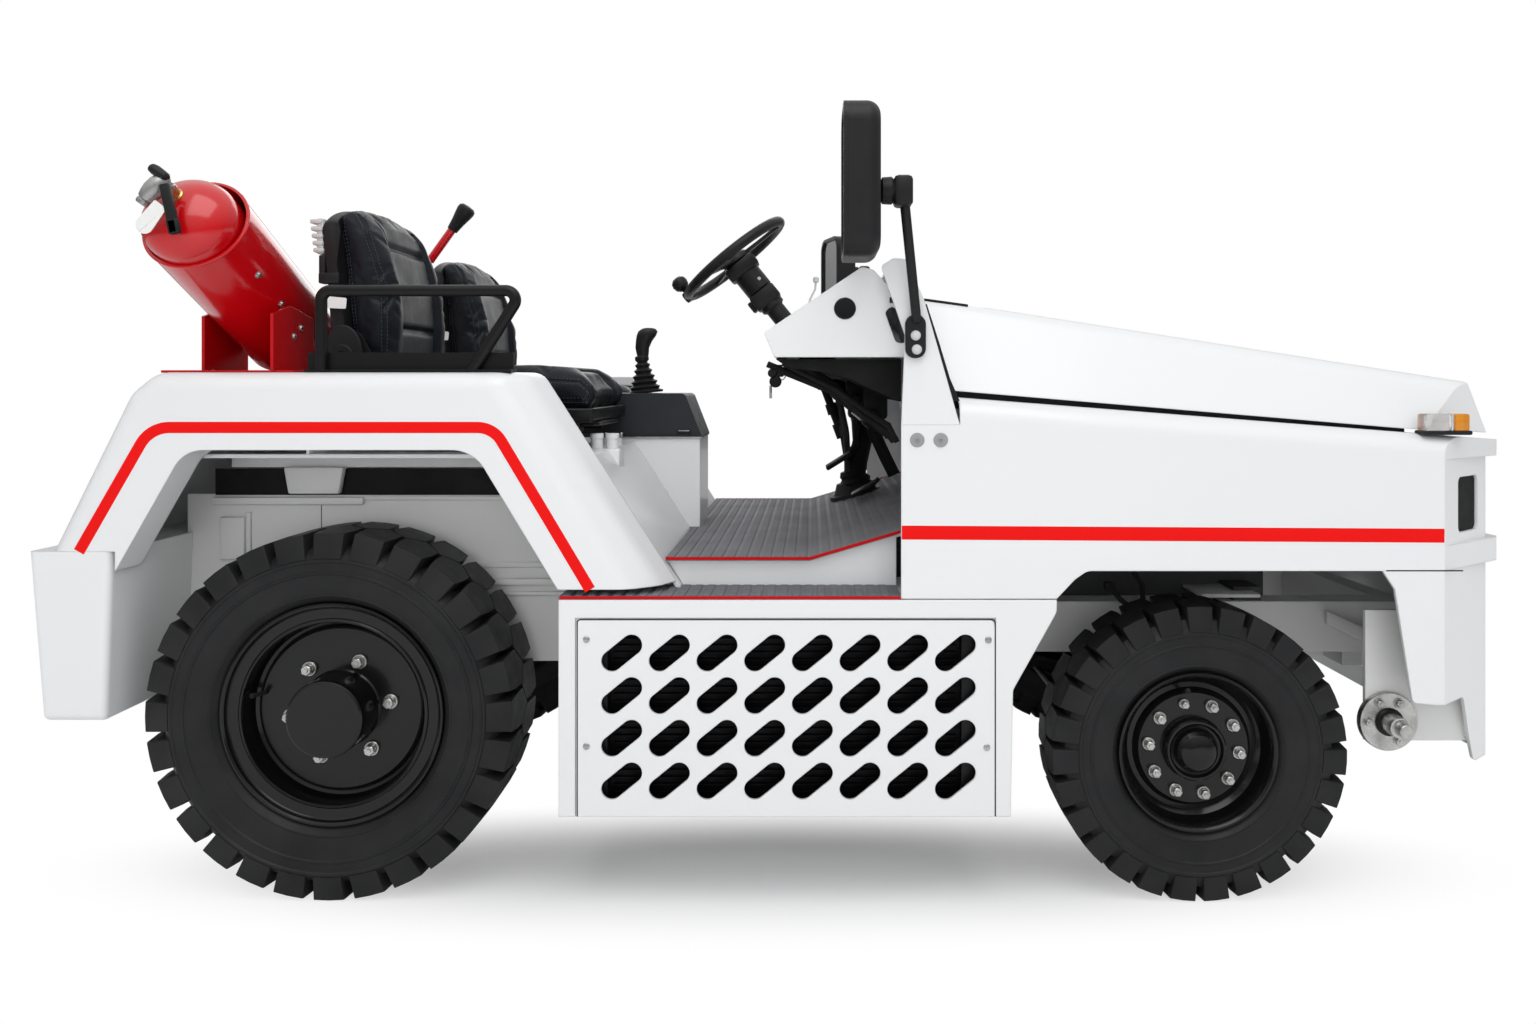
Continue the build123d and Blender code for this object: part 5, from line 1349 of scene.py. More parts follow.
def moved(mesh: bpy.types.Mesh, name: str, shift: Point, finish: Finish) -> bpy.types.Object:
    """Copy a mesh into a new chassis piece, shifted in millimetres.

    Args:
        mesh: Mesh to copy.
        name: Name of the piece.
        shift: Its shift.
        finish: Its finish.

    Returns:
        The new object.
    """
    made = linked(name, mesh.copy())
    made.data.transform(Matrix.Translation(Vector(shift) * MM))
    for face in made.data.polygons:
        face.use_smooth = True
    return mounted(made, finish)


SEAT_X = -798.0
CUSHION = Pad(
    "cushion",
    rounded([(SEAT_X + x, z) for x, z in ((-8, 930), (398, 930), (418, 958), (416, 986), (384, 1014),
                                          (280, 1021), (-8, 1015))],
            {0: 12, 1: 14, 2: 14, 3: 20, 4: 26, 5: 60, 6: 24}, 5),
    (0, 1), 190, 22, 9, (96, 128), 9, 15,
    [Seam(SeamKind.SIDE, 24, (SEAT_X - 20, SEAT_X + 402), 2.6, 3.2),
     Seam(SeamKind.LENGTHWISE, 104, (SEAT_X - 20, SEAT_X + 420), 7, 6),
     Seam(SeamKind.ACROSS, SEAT_X + 128, (0, 104), 6, 6),
     Seam(SeamKind.ACROSS, SEAT_X + 262, (0, 104), 6, 6)])
BACKREST = Pad(
    "backrest",
    rounded([(SEAT_X - x, z) for x, z in ((16, 946), (12, 1052), (9, 1110), (14, 1180), (31, 1250),
                                          (53, 1316), (78, 1357), (103, 1369), (122, 1360), (127, 1340),
                                          (115, 1230), (101, 1090), (90, 946))],
            {0: 22, 2: 60, 4: 90, 6: 30, 7: 22, 8: 12, 9: 14, 12: 16}, 5),
    (1, 0), 190, 26, 12, (88, 122), 9, 15,
    [Seam(SeamKind.SIDE, 15, (960, 1352), 2.6, 3.2),
     Seam(SeamKind.LENGTHWISE, 98, (940, 1330), 8, 6, 0.02),
     Seam(SeamKind.ACROSS, 1103, (0, 100), 8, 7),
     Seam(SeamKind.ACROSS, 1276, (0, 104), 9, 8),
     Seam(SeamKind.ACROSS, 1006, (0, 98), 6, 6)])


REARWARD = Matrix(((0, 0, -1, 0), (1, 0, 0, 0), (0, 1, 0, 0), (0, 0, 0, 1)))   # local X left, Y up, Z back


@dataclass
class Seats:
    """Both seats: padded cushions and backrests, shells, recliners, slides and tags.

    Attributes:
        middle: Distance of a seat's middle from the tug's.
        drop: How much lower the driver's seat is.
        half: Half width of a seat.
    """

    middle: float = 305.0
    drop: float = 38.0
    half: float = 190.0

    def shell(self, piece: Piece, y: float, z: float) -> None:
        """Curved plastic shell on the back of the backrest, lower and rounder towards its sides.

        Args:
            piece: Mesh that receives it.
            y: Distance of the seat from the tug's middle.
            z: Height above the passenger's seat.
        """
        x = SEAT_X
        outline = rounded([(x - 118, 1356), (x - 138, 1358), (x - 152, 1340), (x - 139, 1215), (x - 108, 944),
                           (x - 84, 944), (x - 96, 1120), (x - 108, 1250), (x - 114, 1335)],
                          {1: 10, 2: 14, 3: 60, 4: 8, 6: 60, 8: 8}, 5)
        half = self.half - 8
        rings = []
        for k in range(-14, 15):
            across = half * math.sin(math.pi / 2 * k / 14)
            share = abs(across / half)
            inset = 7 * (1 - math.sqrt(max(0.0, 1 - share ** 6)))
            rings.append([Vector((px + inset * (1 if px < x - 110 else -1), y + across,
                                  pz + z - shoulder(pz, share) - inset - 13 * clamp((pz - 1120) / 240)))
                          for px, pz in outline])
        piece.loft(rings)

    def recliner(self, piece: Piece, y: float, z: float, hand: int) -> None:
        """Round recliner cover with a hub, and the side shield in front of the cushion's rear.

        Args:
            piece: Mesh that receives both.
            y: Distance of the seat from the tug's middle.
            z: Height above the passenger's seat.
            hand: -1 for the right side and 1 for the left.
        """
        side = Side.RIGHT if hand < 0 else Side.LEFT
        to = upright((0, y + hand * (self.half + 6), 0), side)
        flip = 1 if side is Side.RIGHT else -1
        centre = (SEAT_X - 94, 1044 + z)
        arc = [(centre[0] + 40 * math.cos(math.radians(a)), centre[1] + 62 * math.sin(math.radians(a)))
               for a in range(-20, 201, 10)]
        cover = [(flip * px, pz) for px, pz in arc + [(SEAT_X - 128, 940 + z), (SEAT_X - 40, 940 + z)]]
        piece.prism(cover, 9, to, 3, 3)
        hub = to @ Matrix.Translation((flip * centre[0], centre[1], 9))
        piece.lathe([(0, 0), (22, 0), (22, 2), (20, 4), (9, 4), (8, 2.5), (0, 2.5)], hub, 32)

    def slides(self, piece: Piece, y: float, z: float) -> None:
        """Pan lip, slide rails and the adjusting bar under the cushion.

        Args:
            piece: Mesh that receives them.
            y: Distance of the seat from the tug's middle.
            z: Height above the passenger's seat.
        """
        x = SEAT_X
        low = 928 + z
        for hand in (-1, 1):
            side = y + hand * (self.half - 22)
            piece.block((x - 60, side - 9, low - 30), (x + 372, side + 9, low - 16), 2)
            piece.block((x - 74, side - 14, low - 46), (x + 352, side + 14, low - 31), 2)
            piece.block((x + 30, side - 16, low - 72), (x + 250, side + 16, low - 47), 4)
        outline = rounded([(-self.half + 6, low - 14), (self.half - 6, low - 14), (self.half - 1, low + 10),
                           (-self.half + 1, low + 10)], {0: 6, 1: 6, 2: 4, 3: 4}, 3)
        piece.prism([(y + py, pz) for py, pz in outline], 408,
                    Matrix.Translation((x + 404, 0, 0)) @ REARWARD, 3)
        bar = [(340, 120, 26), (392, 120, 24), (398, 110, 24)]
        piece.tube([(x + dx, y - dy, low - dz) for dx, dy, dz in bar]
                   + [(x + dx, y + dy, low - dz) for dx, dy, dz in reversed(bar)], 5, 10)

    def lumbar(self, plates: Piece, arms: Piece, tags: Piece, y: float, z: float) -> None:
        """Ribbed bright cover, its bracket behind the shell, and the blank tag on the side.

        Args:
            plates: Mesh of the covers.
            arms: Mesh of the brackets.
            tags: Mesh of the tags.
            y: Distance of the seat from the tug's middle.
            z: Height above the passenger's seat.
        """
        x = SEAT_X - 152
        side = y - self.half
        plates.block((x - 4, side + 8, 1250 + z), (x + 10, side + 66, 1322 + z), 3)
        for k in range(5):
            high = 1320 + z - 14.5 * k
            plates.block((x - 16 + 1.6 * k, side + 4, high - 9), (x + 8 + k, side + 70, high), 3)
        arms.block((x + 1, side + 6, 1196 + z), (x + 14, side + 60, 1248 + z), 3)
        arms.block((x + 2, side + 2, 1190 + z), (x + 44, side + 30, 1212 + z), 3)
        to = upright((0, side - 1.2, 0), Side.RIGHT)
        outline = rounded([(x + 20, 1140 + z), (x + 60, 1138 + z), (x + 62, 1160 + z), (x + 18, 1164 + z)],
                          dict.fromkeys(range(4), 3), 4)
        tags.prism(outline, 1.6, to, 0.4, 1)

    def build(self) -> None:
        """Make both seats."""
        pads = {"cushion": CUSHION.build(), "backrest": BACKREST.build()}
        shells, covers, rails, plates, tags = Piece(), Piece(), Piece(), Piece(), Piece()
        for who, y, z in (("passenger", -self.middle, 0.0), ("driver", self.middle, -self.drop)):
            for part, (pad, sewn) in pads.items():
                soft = moved(pad, f"pad_{part}_{who}", (0, y, z), VINYL)
                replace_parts(soft, f"seat_{part}_{who}")
                moved(sewn, f"stitches_{part}_{who}", (0, y, z), THREAD)
            self.shell(shells, y, z)
            for hand in (-1, 1):
                self.recliner(covers, y, z, hand)
            self.slides(rails, y, z)
            self.lumbar(plates, covers, tags, y, z)
        finish_all((shells, "seat_shells", BLACK_PLASTIC), (covers, "seat_covers", BLACK_PLASTIC),
                   (rails, "seat_slides", SATIN_BLACK), (plates, "seat_lumbar_plates", SILVER),
                   (tags, "seat_tags", TAG))
        LOG.info("seats")


# ---------------------------------------------------------------- bodywork
RAMP = 16.5   # degrees that the floor's front half rises at


@dataclass
class Bodywork:
    """Finishes of the CAD bodywork, and the tape, seals and fasteners on it.

    Attributes:
        side_y: Half width over the body sides.
        tape_w: Width of the red tape.
        dash_y: Half width over the dash.
        stud: Distance between the studs of a mat's rib.
    """

    side_y: float = 650.0
    tape_w: float = 21.0
    dash_y: float = 608.0
    stud: float = 14.0

    def paint(self) -> None:
        """Give every CAD node outside the wheels its finish."""
        for nodes, finish in (
                ("rear_bumper rear_fender_right rear_fender_left rear_deck seat_platform floor_plate "
                 "side_box_right side_box_left vent_panels front_body front_apron hood cowl dash_panel "
                 "console_base", WHITE),
                ("chassis_frame wheel_panels front_tow_points", UNDER),
                ("tow_hitch rear_axle front_axle tie_rod knuckle_right knuckle_left guard_rail "
                 "seat_frame_passenger seat_frame_driver", SATIN_BLACK),
                ("extinguisher_holder extinguisher_bottle hitch_lever", RED),
                ("steering_column pedals mirrors gear_lever steering_wheel", BLACK_PLASTIC),
                ("seat_cushion_passenger seat_cushion_driver seat_backrest_passenger "
                 "seat_backrest_driver", VINYL),
                ("front_grilles", SEAL), ("console_cover", CONSOLE_GREY), ("front_springs", STEEL_BLACK),
                ("engine_block", IRON), ("cooler_packs", FINS), ("floor_mats", MAT), ("steering_hoses", HOSE),
                ("headlamps", CLEAR), ("indicator_lamps", AMBER), ("tail_lamps", RED_LENS),
                ("extinguisher_valve", ALLOY)):
            dress(nodes, finish)

    def ribbon(self, points: Sequence[Flat], width: float, name: str, lift: float = 0.35,
               finish: Finish = STRIPE) -> None:
        """Tape or line along a path on both body sides.

        Args:
            points: Centreline in X and Z.
            width: Width of the tape.
            name: Name of the piece.
            lift: Height of the tape's face over the paint.
            finish: Its finish.
        """
        piece = Piece()
        line = [Vector(p) for p in points]
        runs = [(two - one).normalized() for one, two in zip(line, line[1:])]
        sides = []
        for point, back, ahead in zip(line, runs[:1] + runs, runs + runs[-1:]):
            mean = (back + ahead).normalized()
            across = Vector((-mean.y, mean.x)) * (width / 2 / max(0.3, mean.dot(back)))
            sides.append((point + across, point - across))
        for (left, right), (far_left, far_right) in zip(sides, sides[1:]):
            corners = (left, far_left, far_right, right)
            piece.bm.faces.new([piece.bm.verts.new((p.x, -self.side_y - lift, p.y)) for p in corners])
        bmesh.ops.remove_doubles(piece.bm, verts=piece.bm.verts[:], dist=0.01)
        new = bmesh.ops.extrude_face_region(piece.bm, geom=piece.bm.faces[:])["geom"]
        bmesh.ops.translate(piece.bm, verts=[v for v in new if isinstance(v, bmesh.types.BMVert)],
                            vec=(0, lift + 0.6, 0))
        piece.mirror_y()
        piece.finish(name, finish)

    def stripes(self) -> None:
        """Rear stripe round the wheel arch and front stripe along the hood's side."""
        rear = [(-1323, 673), (-1190, 905.5), (-548, 905.5), (-367, 602)]
        self.ribbon(rounded(rear, {1: 62, 2: 52}, 10), self.tape_w, "stripe_rear")
        self.ribbon([(216, 709), (1231, 703)], self.tape_w + 5, "stripe_front")

    def gaps(self) -> None:
        """Dark gaps round the slotted panels and in the apron, and the seals of the hood and the cowl."""
        edge = rounded([(-391, 178), (-391, 546), (391, 546), (391, 178)], {1: 6, 2: 6}, 4)
        self.ribbon(edge, 2.2, "panel_gap", 0.15, SEAL)
        self.ribbon([(1122, 637.5), (1266, 637.5)], 2.4, "apron_gap", 0.15, SEAL)
        seal = Piece()
        hood = [(322, 982), (322, 940), (700, 912), (1192, 880), (1192, 906), (700, 950)]
        seal.prism(hood, 16, placed((0, -570, 0), 90), 2, 2)
        post = [(257, 1137), (263, 1137), (285, 1069), (307, 996), (325, 955), (307, 955), (298, 990),
                (275, 1069)]
        seal.prism(post, 14, placed((0, -635.5, 0), 90), 1.5, 2)
        seal.mirror_y()
        seal.finish("weather_seals", SEAL)
        tree = BVHTree.FromObject(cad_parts["hood"], bpy.context.evaluated_depsgraph_get())
        hits = [tree.ray_cast(Vector((272 + 11.0 * k, -508, 1600)) * MM, Vector((0, 0, -1)))[0]
                for k in range(9)]
        lip = Piece()
        lip.tube([hit / MM + Vector((0, 0, 1.0)) for hit in hits if hit], 3.2, 10)
        lip.mirror_y()
        lip.finish("hood_lip", SEAL, Body.HOOD)

    def fasteners(self) -> None:
        """Panel screws, cowl washers and the dash end caps."""
        screws, washers, caps = Piece(), Piece(), Piece()
        for x, z in ((-374, 509), (378, 508), (-374, 309), (375, 307)):
            screws.lathe([(0, 0), (6.5, 0), (6.2, 1.6), (3.4, 3.2), (1.6, 3.4), (0, 2.0)],
                         upright((x, -self.side_y, z), Side.RIGHT), 20)
        for x in (245, 289):
            washers.lathe([(0, 0), (13.5, 0), (13.5, 1.2), (12.6, 2.0), (4.2, 2.2), (4.2, 4.6), (2.2, 5.2),
                           (2.0, 3.4), (0, 3.4)], upright((x, -self.side_y, 882), Side.RIGHT), 36)
        caps.lathe([(0, 0), (21, 0), (21, 1.4), (19.5, 2.4), (0, 2.8)],
                   upright((111, -self.dash_y, 1131), Side.RIGHT), 40)
        lens = rounded([(187, 1124), (204, 1140), (226, 1084), (227, 1064), (208, 1066)],
                       {0: 9, 1: 9, 2: 14, 3: 7, 4: 10}, 5)
        caps.prism(lens, 3, placed((0, -self.dash_y, 0), 90), 1, 2)
        caps.block((196, -612, 1141), (204, -604, 1152), 1.5)
        finish_all((screws, "panel_screws", ZINC), (washers, "cowl_washers", MID_GREY),
                   (caps, "dash_end_caps", LENS_BLACK), mirrored=True)

    def mats(self) -> None:
        """Ribs on the tread mats and the red edging along their near edges."""
        ribs, edging = Piece(), Piece()

        def rib(to: Matrix, low: float, high: float) -> None:
            """Add a rib from low to high across the tug, with its studs."""
            ribs.block((-5.5, low, -0.6), (5.5, high, 0.9), 0.0, to)
            for k in range(round((high - low) / self.stud)):
                y = low + self.stud * (k + 0.5)
                ribs.block((-7.5, y - 4.2, 0.5), (7.5, y + 4.2, 2.0), 0.0, to)

        for number in range(23):
            x = -230 + 23.6 * number
            rise = max(0.0, x - 46) * math.tan(math.radians(RAMP))
            rib(placed((x, 0, 646 + rise), -RAMP if x > 43 else 0.0, "Y"), -546, 546)
        for number in range(26):
            for low in (-646, 534):
                rib(Matrix.Translation((-414 + 24 * number, 0, 589)), low, low + 112)
        edge = [(-239, 641.5), (44, 641.5), (318, 722.5), (318, 728.5), (44, 647.3), (-239, 647.3)]
        edging.prism(edge, 2.4, placed((0, -548.6, 0), 90))
        step = [(-424, 584.2), (214, 584.2), (214, 589.6), (-424, 589.6)]
        edging.prism(step, 1.6, placed((0, -649.0, 0), 90))
        edging.mirror_y()
        ribs.finish("mat_ribs", MAT, smooth=20)
        edging.finish("mat_edging", DARK_RED)

    def wells(self) -> None:
        """Seams, small boxes and ledges on the panels inside the rear wheel arches, and a dark sheet of
        painted shade across the top of each well.
        """
        plates, dark = Piece(), Piece()
        for low, high, bevel in (
                ((-1203, -392, 616), (-1150, -379, 706), 4), ((-1150, -386, 596), (-1140, -379, 716), 2),
                ((-1218, -392, 732), (-900, -380, 748), 3), ((-900, -384, 598), (-430, -379, 610), 2),
                ((-760, -392, 562), (-430, -379, 576), 3), ((-700, -388, 540), (-430, -379, 548), 2)):
            plates.block(low, high, bevel)
        plates.prism([(-1062, 812), (-936, 812), (-946, 756), (-1052, 756)], 20,
                     placed((0, -384, 0), 90), 4, 2)
        dark.block((-992.8, -380.8, 600), (-991.4, -379.4, 742))
        # Painted shade: a dark sheet across the top of the well that covers a gap where the white background
        # would show through.
        dark.block((-1216, -382, 752), (-430, -378.5, 808))
        plates.block((-900, -385, 741), (-430, -379, 750), 2)
        finish_all((plates, "well_plates", UNDER), (dark, "well_seams_and_painted_shade", SEAL), mirrored=True)

    def build(self) -> None:
        """Paint the body and add what is on it."""
        self.paint()
        self.stripes()
        self.gaps()
        self.fasteners()
        self.mats()
        self.wells()
        LOG.info("bodywork")


# ---------------------------------------------------------------- driver's place
@dataclass
class Steering:
    """Steering wheel, its housing and switches, and what hangs under the dash.

    Attributes:
        centre: Centre of the wheel.
        tilt: Degrees between the column and the vertical.
        radius: Radius of the rim's middle line.
        grip: Radius of the rim's section.
    """

    centre: Point = (-166.0, 305.0, 1332.0)
    tilt: float = 39.0
    radius: float = 160.0
    grip: float = 14.0

    @property
    def frame(self) -> Matrix:
        """Local X up the wheel's plane, Y to the left and Z down the column.

        Returns:
            The wheel's matrix.
        """
        a = math.radians(self.tilt)
        rows = (Vector((math.cos(a), 0, math.sin(a))), Vector((0, 1, 0)),
                Vector((math.sin(a), 0, -math.cos(a))))
        return Matrix.Translation(self.centre) @ Matrix(rows).transposed().to_4x4()

    def wheel(self) -> None:
        """Thick rim, three spokes, a hub and the spinner knob."""
        piece, to = Piece(), self.frame
        piece.lathe(circle(self.grip, 14, self.radius), to, 72, closed=True)
        for degrees in (0, 120, 240):
            turn = to @ Matrix.Rotation(math.radians(degrees), 4, "Z")
            end = self.radius - 6
            outline = rounded([(30, -19), (84, -10), (end, -9), (end, 9), (84, 10), (30, 19)],
                              {1: 30, 4: 30}, 4)
            piece.prism(outline, 9, turn @ Matrix.Translation((0, 0, 1)), 3, 2)
        piece.lathe([(0, -9), (30, -8), (38, -3), (41, 4), (41, 12), (0, 12)], to, 40)
        knob = to @ Matrix.Translation((-self.radius, 0, 0))
        piece.lathe([(0, -61), (12, -59), (20, -52), (22.5, -42), (20, -30), (13, -23), (8, -20), (7, -8),
                     (0, -8)], knob, 28)
        piece.lathe([(0, -14), (15, -14), (17, -8), (17, 8), (15, 14), (0, 14)], knob, 24)
        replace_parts(piece.finish("steering_wheel_rim", BLACK_PLASTIC, Body.STEERING_WHEEL), "steering_wheel")

    def column(self) -> None:
        """Housing under the wheel, switch collar and bright latch."""
        piece, latch, to = Piece(), Piece(), self.frame
        piece.block((-47, -42, 14), (47, 42, 54), 9, to)
        piece.lathe([(0, 54), (33, 54), (30, 70), (29, 118), (0, 118)], to, 32)
        piece.block((-40, -37, 112), (38, 37, 160), 8, to)
        piece.block((-52, -20, 120), (-38, 20, 152), 5, to)
        piece.lathe([(0, 158), (34, 158), (34, 170), (27, 176), (0, 176)], to, 32)
        piece.rod(to @ Vector((10, 30, 134)), to @ Vector((26, 96, 120)), 4.5, 12, 1)
        piece.rod(to @ Vector((20, 84, 123)), to @ Vector((29, 112, 117)), 7.5, 14, 2)
        latch.block((-12, -34, 62), (12, -26, 100), 3, to)
        latch.lathe([(0, 0), (5, 0), (5, 3), (0, 4)], to @ placed((18, -32, 88), 90), 14)
        finish_all((piece, "column_switches", BLACK_PLASTIC), (latch, "column_latch", SILVER))

    def loom(self) -> None:
        """Dark duct, wiring and pipes between the dash and the floor."""
        piece, pale = Piece(), Piece()
        side = [(-24, 1036), (10, 1019), (70, 1012), (128, 996), (178, 972), (224, 952), (224, 1036)]
        piece.prism(rounded(side, {1: 14, 2: 20, 3: 20, 4: 20}, 4), 1100,
                    placed((0, 560, 0), 90), 5, 2)
        for k in range(17):
            y = -450 + 57 * k
            sag = 14 * math.sin(k * 2.1)
            piece.tube([(-12 + 3 * sag, y, 1030), (40 + sag, y + 12, 1004 + sag * 0.4),
                        (98, y + 20 + sag, 976 + sag * 0.5), (150, y + 6 - sag, 938 - abs(sag)),
                        (205, y - 8, 902 - abs(sag)), (222, y - 6, 868)], 6 + 4 * math.sin(k * 1.3) ** 2, 8)
        for y, x, drop in ((-300, 186, 10), (-180, 150, -22), (-60, 192, 34), (120, 164, 20), (240, 120, -30),
                           (402, 182, 44), (470, 196, 10)):
            piece.block((x - 24, y - 30, 920 - drop), (x + 26, y + 30, 1000), 9)
            piece.rod((x - 6, y - 42, 930 - drop), (x - 6, y + 42, 926 - drop), 13, 16, 3)
        for radius, steps, path in (
                (11, 14, [(60, 296, 1010), (78, 292, 985), (106, 290, 910), (126, 290, 858)]),
                (17, 14, [(72, 293, 1000), (80, 292, 976)]),
                (15, 14, [(97, 290, 934), (106, 290, 906)]),
                (17, 14, [(118, 290, 880), (132, 289, 842)]),
                (27, 18, [(136, 330, 1010), (160, 330, 960), (182, 322, 900), (186, 312, 830),
                          (172, 306, 770), (164, 305, 726)]),
                (17, 14, [(176, 268, 990), (194, 268, 940), (214, 264, 860), (246, 262, 790),
                          (270, 262, 742)]),
                (12, 12, [(150, 360, 960), (176, 352, 880), (192, 340, 800), (188, 332, 750)])):
            piece.tube(path, radius, steps)
        piece.lathe([(0, 74), (33, 74), (38, 62), (35, 54), (44, 44), (41, 34), (50, 22), (50, 10), (60, 6),
                     (60, -2), (0, -2)], placed((178, 305, 681), -RAMP, "Y"), 28)
        piece.block((-38, -36, -6), (40, 36, 6), 4, placed((118, 226, 782), -32, "Y"))
        piece.tube([(140, 240, 786), (166, 262, 826), (176, 272, 900), (170, 280, 960)], 8, 10)
        pale.tube([(34, 250, 1180), (42, 250, 1216), (56, 250, 1244), (58, 250, 1266)], 2.8, 8)
        pale.lathe([(0, 0), (7, 0), (8, 4), (8, 12), (6, 15), (0, 16)],
                   Matrix.Translation((58, 250, 1262)), 16)
        pale.tube([(150, 90, 980), (176, 60, 950), (150, 30, 915), (170, 10, 900)], 5, 8)
        finish_all((piece, "under_dash_loom", SEAL), (pale, "dash_lever", PALE_GREY))

    def pedal(self) -> None:
        """Flat pad on a short arm, in place of the CAD pedals."""
        piece = Piece()
        piece.block((-36, -28, -4), (36, 28, 4), 3, placed((182, 145, 716), -30, "Y"))
        piece.rod((196, 145, 716), (222, 145, 742), 6, 12, 1)
        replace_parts(piece.finish("pedal_pads", BLACK_PLASTIC), "pedals")

    def keys(self) -> None:
        """Lock, ring and two keys under the dash's rear corner."""
        black, steel = Piece(), Piece()
        steel.rod((-14, 150, 1040), (-30, 150, 1024), 9, 20, 2)
        steel.lathe(circle(1.5, 8, 12), placed((-34, 150, 1010), 90), 28, closed=True)
        black.block((-54, 145, 1006), (-26, 153, 1038), 5)
        black.lathe([(0, -5), (14, -5), (16, -3), (16, 3), (14, 5), (0, 5)], placed((-48, 150, 994), 90), 24)
        black.lathe([(0, -4), (10, -4), (12, -2), (12, 2), (10, 4), (0, 4)], placed((-56, 146, 1016), 90), 20)
        steel.block((-64, 148, 950), (-57, 151, 984), 0.8)
        finish_all((black, "key_heads", BLACK_PLASTIC), (steel, "key_blades", ZINC))

    def build(self) -> None:
        """Make the wheel, the column parts, the pedal, the wiring and the keys."""
        self.wheel()
        self.column()
        self.pedal()
        self.loom()
        self.keys()
        LOG.info("steering")


@dataclass
class Levers:
    """Gear lever, hitch lever's grip, console trim and the two filler necks.

    Attributes:
        gear: Middle of the gear lever's foot.
        deck: Point where the hitch lever meets the deck.
        knob: Upper end of the hitch lever.
    """

    gear: Point = (-364.0, 0.0, 965.0)
    deck: Point = (-1100.0, 0.0, 1004.0)
    knob: Point = (-810.0, 0.0, 1413.0)

    def gear_lever(self) -> None:
        """Ribbed boot and a shaped grip that leans forward at its top."""
        piece = Piece()
        x, y, z = self.gear
        boot = [(0, 0), (43, 0), (44, 5), (34, 9), (38, 15), (28, 21), (33, 28), (23, 34), (28, 42), (18, 48),
                (23, 56), (15, 62), (19, 70), (12, 76), (17, 82), (17, 90), (11, 94), (0, 94)]
        piece.lathe(boot, placed((x, y, z), -6, "Y"), 28)
        grip = ((84, 11, 11, -6), (96, 15, 14, -7), (112, 17, 16, -8), (128, 20, 18, -4),
                (142, 24, 20, 2), (152, 24, 20, 6), (159, 17, 15, 8), (161, 9, 8, 8))
        piece.loft([hoop((x + shift, y, z + height), Vector((wide, 0, 0)), Vector((0, deep, 0)), 24)
                    for height, wide, deep, shift in grip])
        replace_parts(piece.finish("gear_grip", BLACK_PLASTIC, smooth=50), "gear_lever")

    def hitch_grip(self) -> None:
        """Black bullet grip over the hitch lever's end."""
        piece = Piece()
        knob = Vector(self.knob)
        ahead = (knob - Vector(self.deck)).normalized()
        profile = [(0, -56), (12.6, -56), (13.4, -50), (16, -30), (20.2, -8), (21.6, 2), (20.6, 10), (15, 15),
                   (0, 17)]
        piece.lathe(profile, along(knob, knob + ahead), 32)
        piece.finish("hitch_grip", BLACK_PLASTIC)

    def console(self) -> None:
        """Lid line, catch and bright edge of the console, and the filler necks."""
        dark, bright, necks = Piece(), Piece(), Piece()
        bright.block((-457, -102.4, 858), (-215, -100.4, 861.5))
        bright.block((-270, -103.4, 875), (-244, -100.6, 877), 0.6)
        dark.block((-274, -103, 868), (-240, -100.6, 879), 1.2)
        dark.block((-450, -102, 866), (-225, -100.7, 867.2))
        necks.block((-428, -422, 800), (-352, -370, 852), 6)
        for x in (-404, -371):
            necks.lathe([(0, -4), (12.5, -4), (12.5, 22), (14, 23), (14, 32), (12.5, 33.5), (0, 33.5)],
                        Matrix.Translation((x, -400, 850)), 28)
            bright.lathe([(0, 0), (4, 0), (4, 9), (3, 11), (0, 11.5)],
                         Matrix.Translation((x + 12, -366, 872)), 12)
        finish_all((dark, "console_catch", BLACK_PLASTIC), (bright, "console_trim", ZINC),
                   (necks, "filler_necks", WHITE))

    def build(self) -> None:
        """Make the levers and the console's trim."""
        self.gear_lever()
        self.hitch_grip()
        self.console()
        LOG.info("levers")


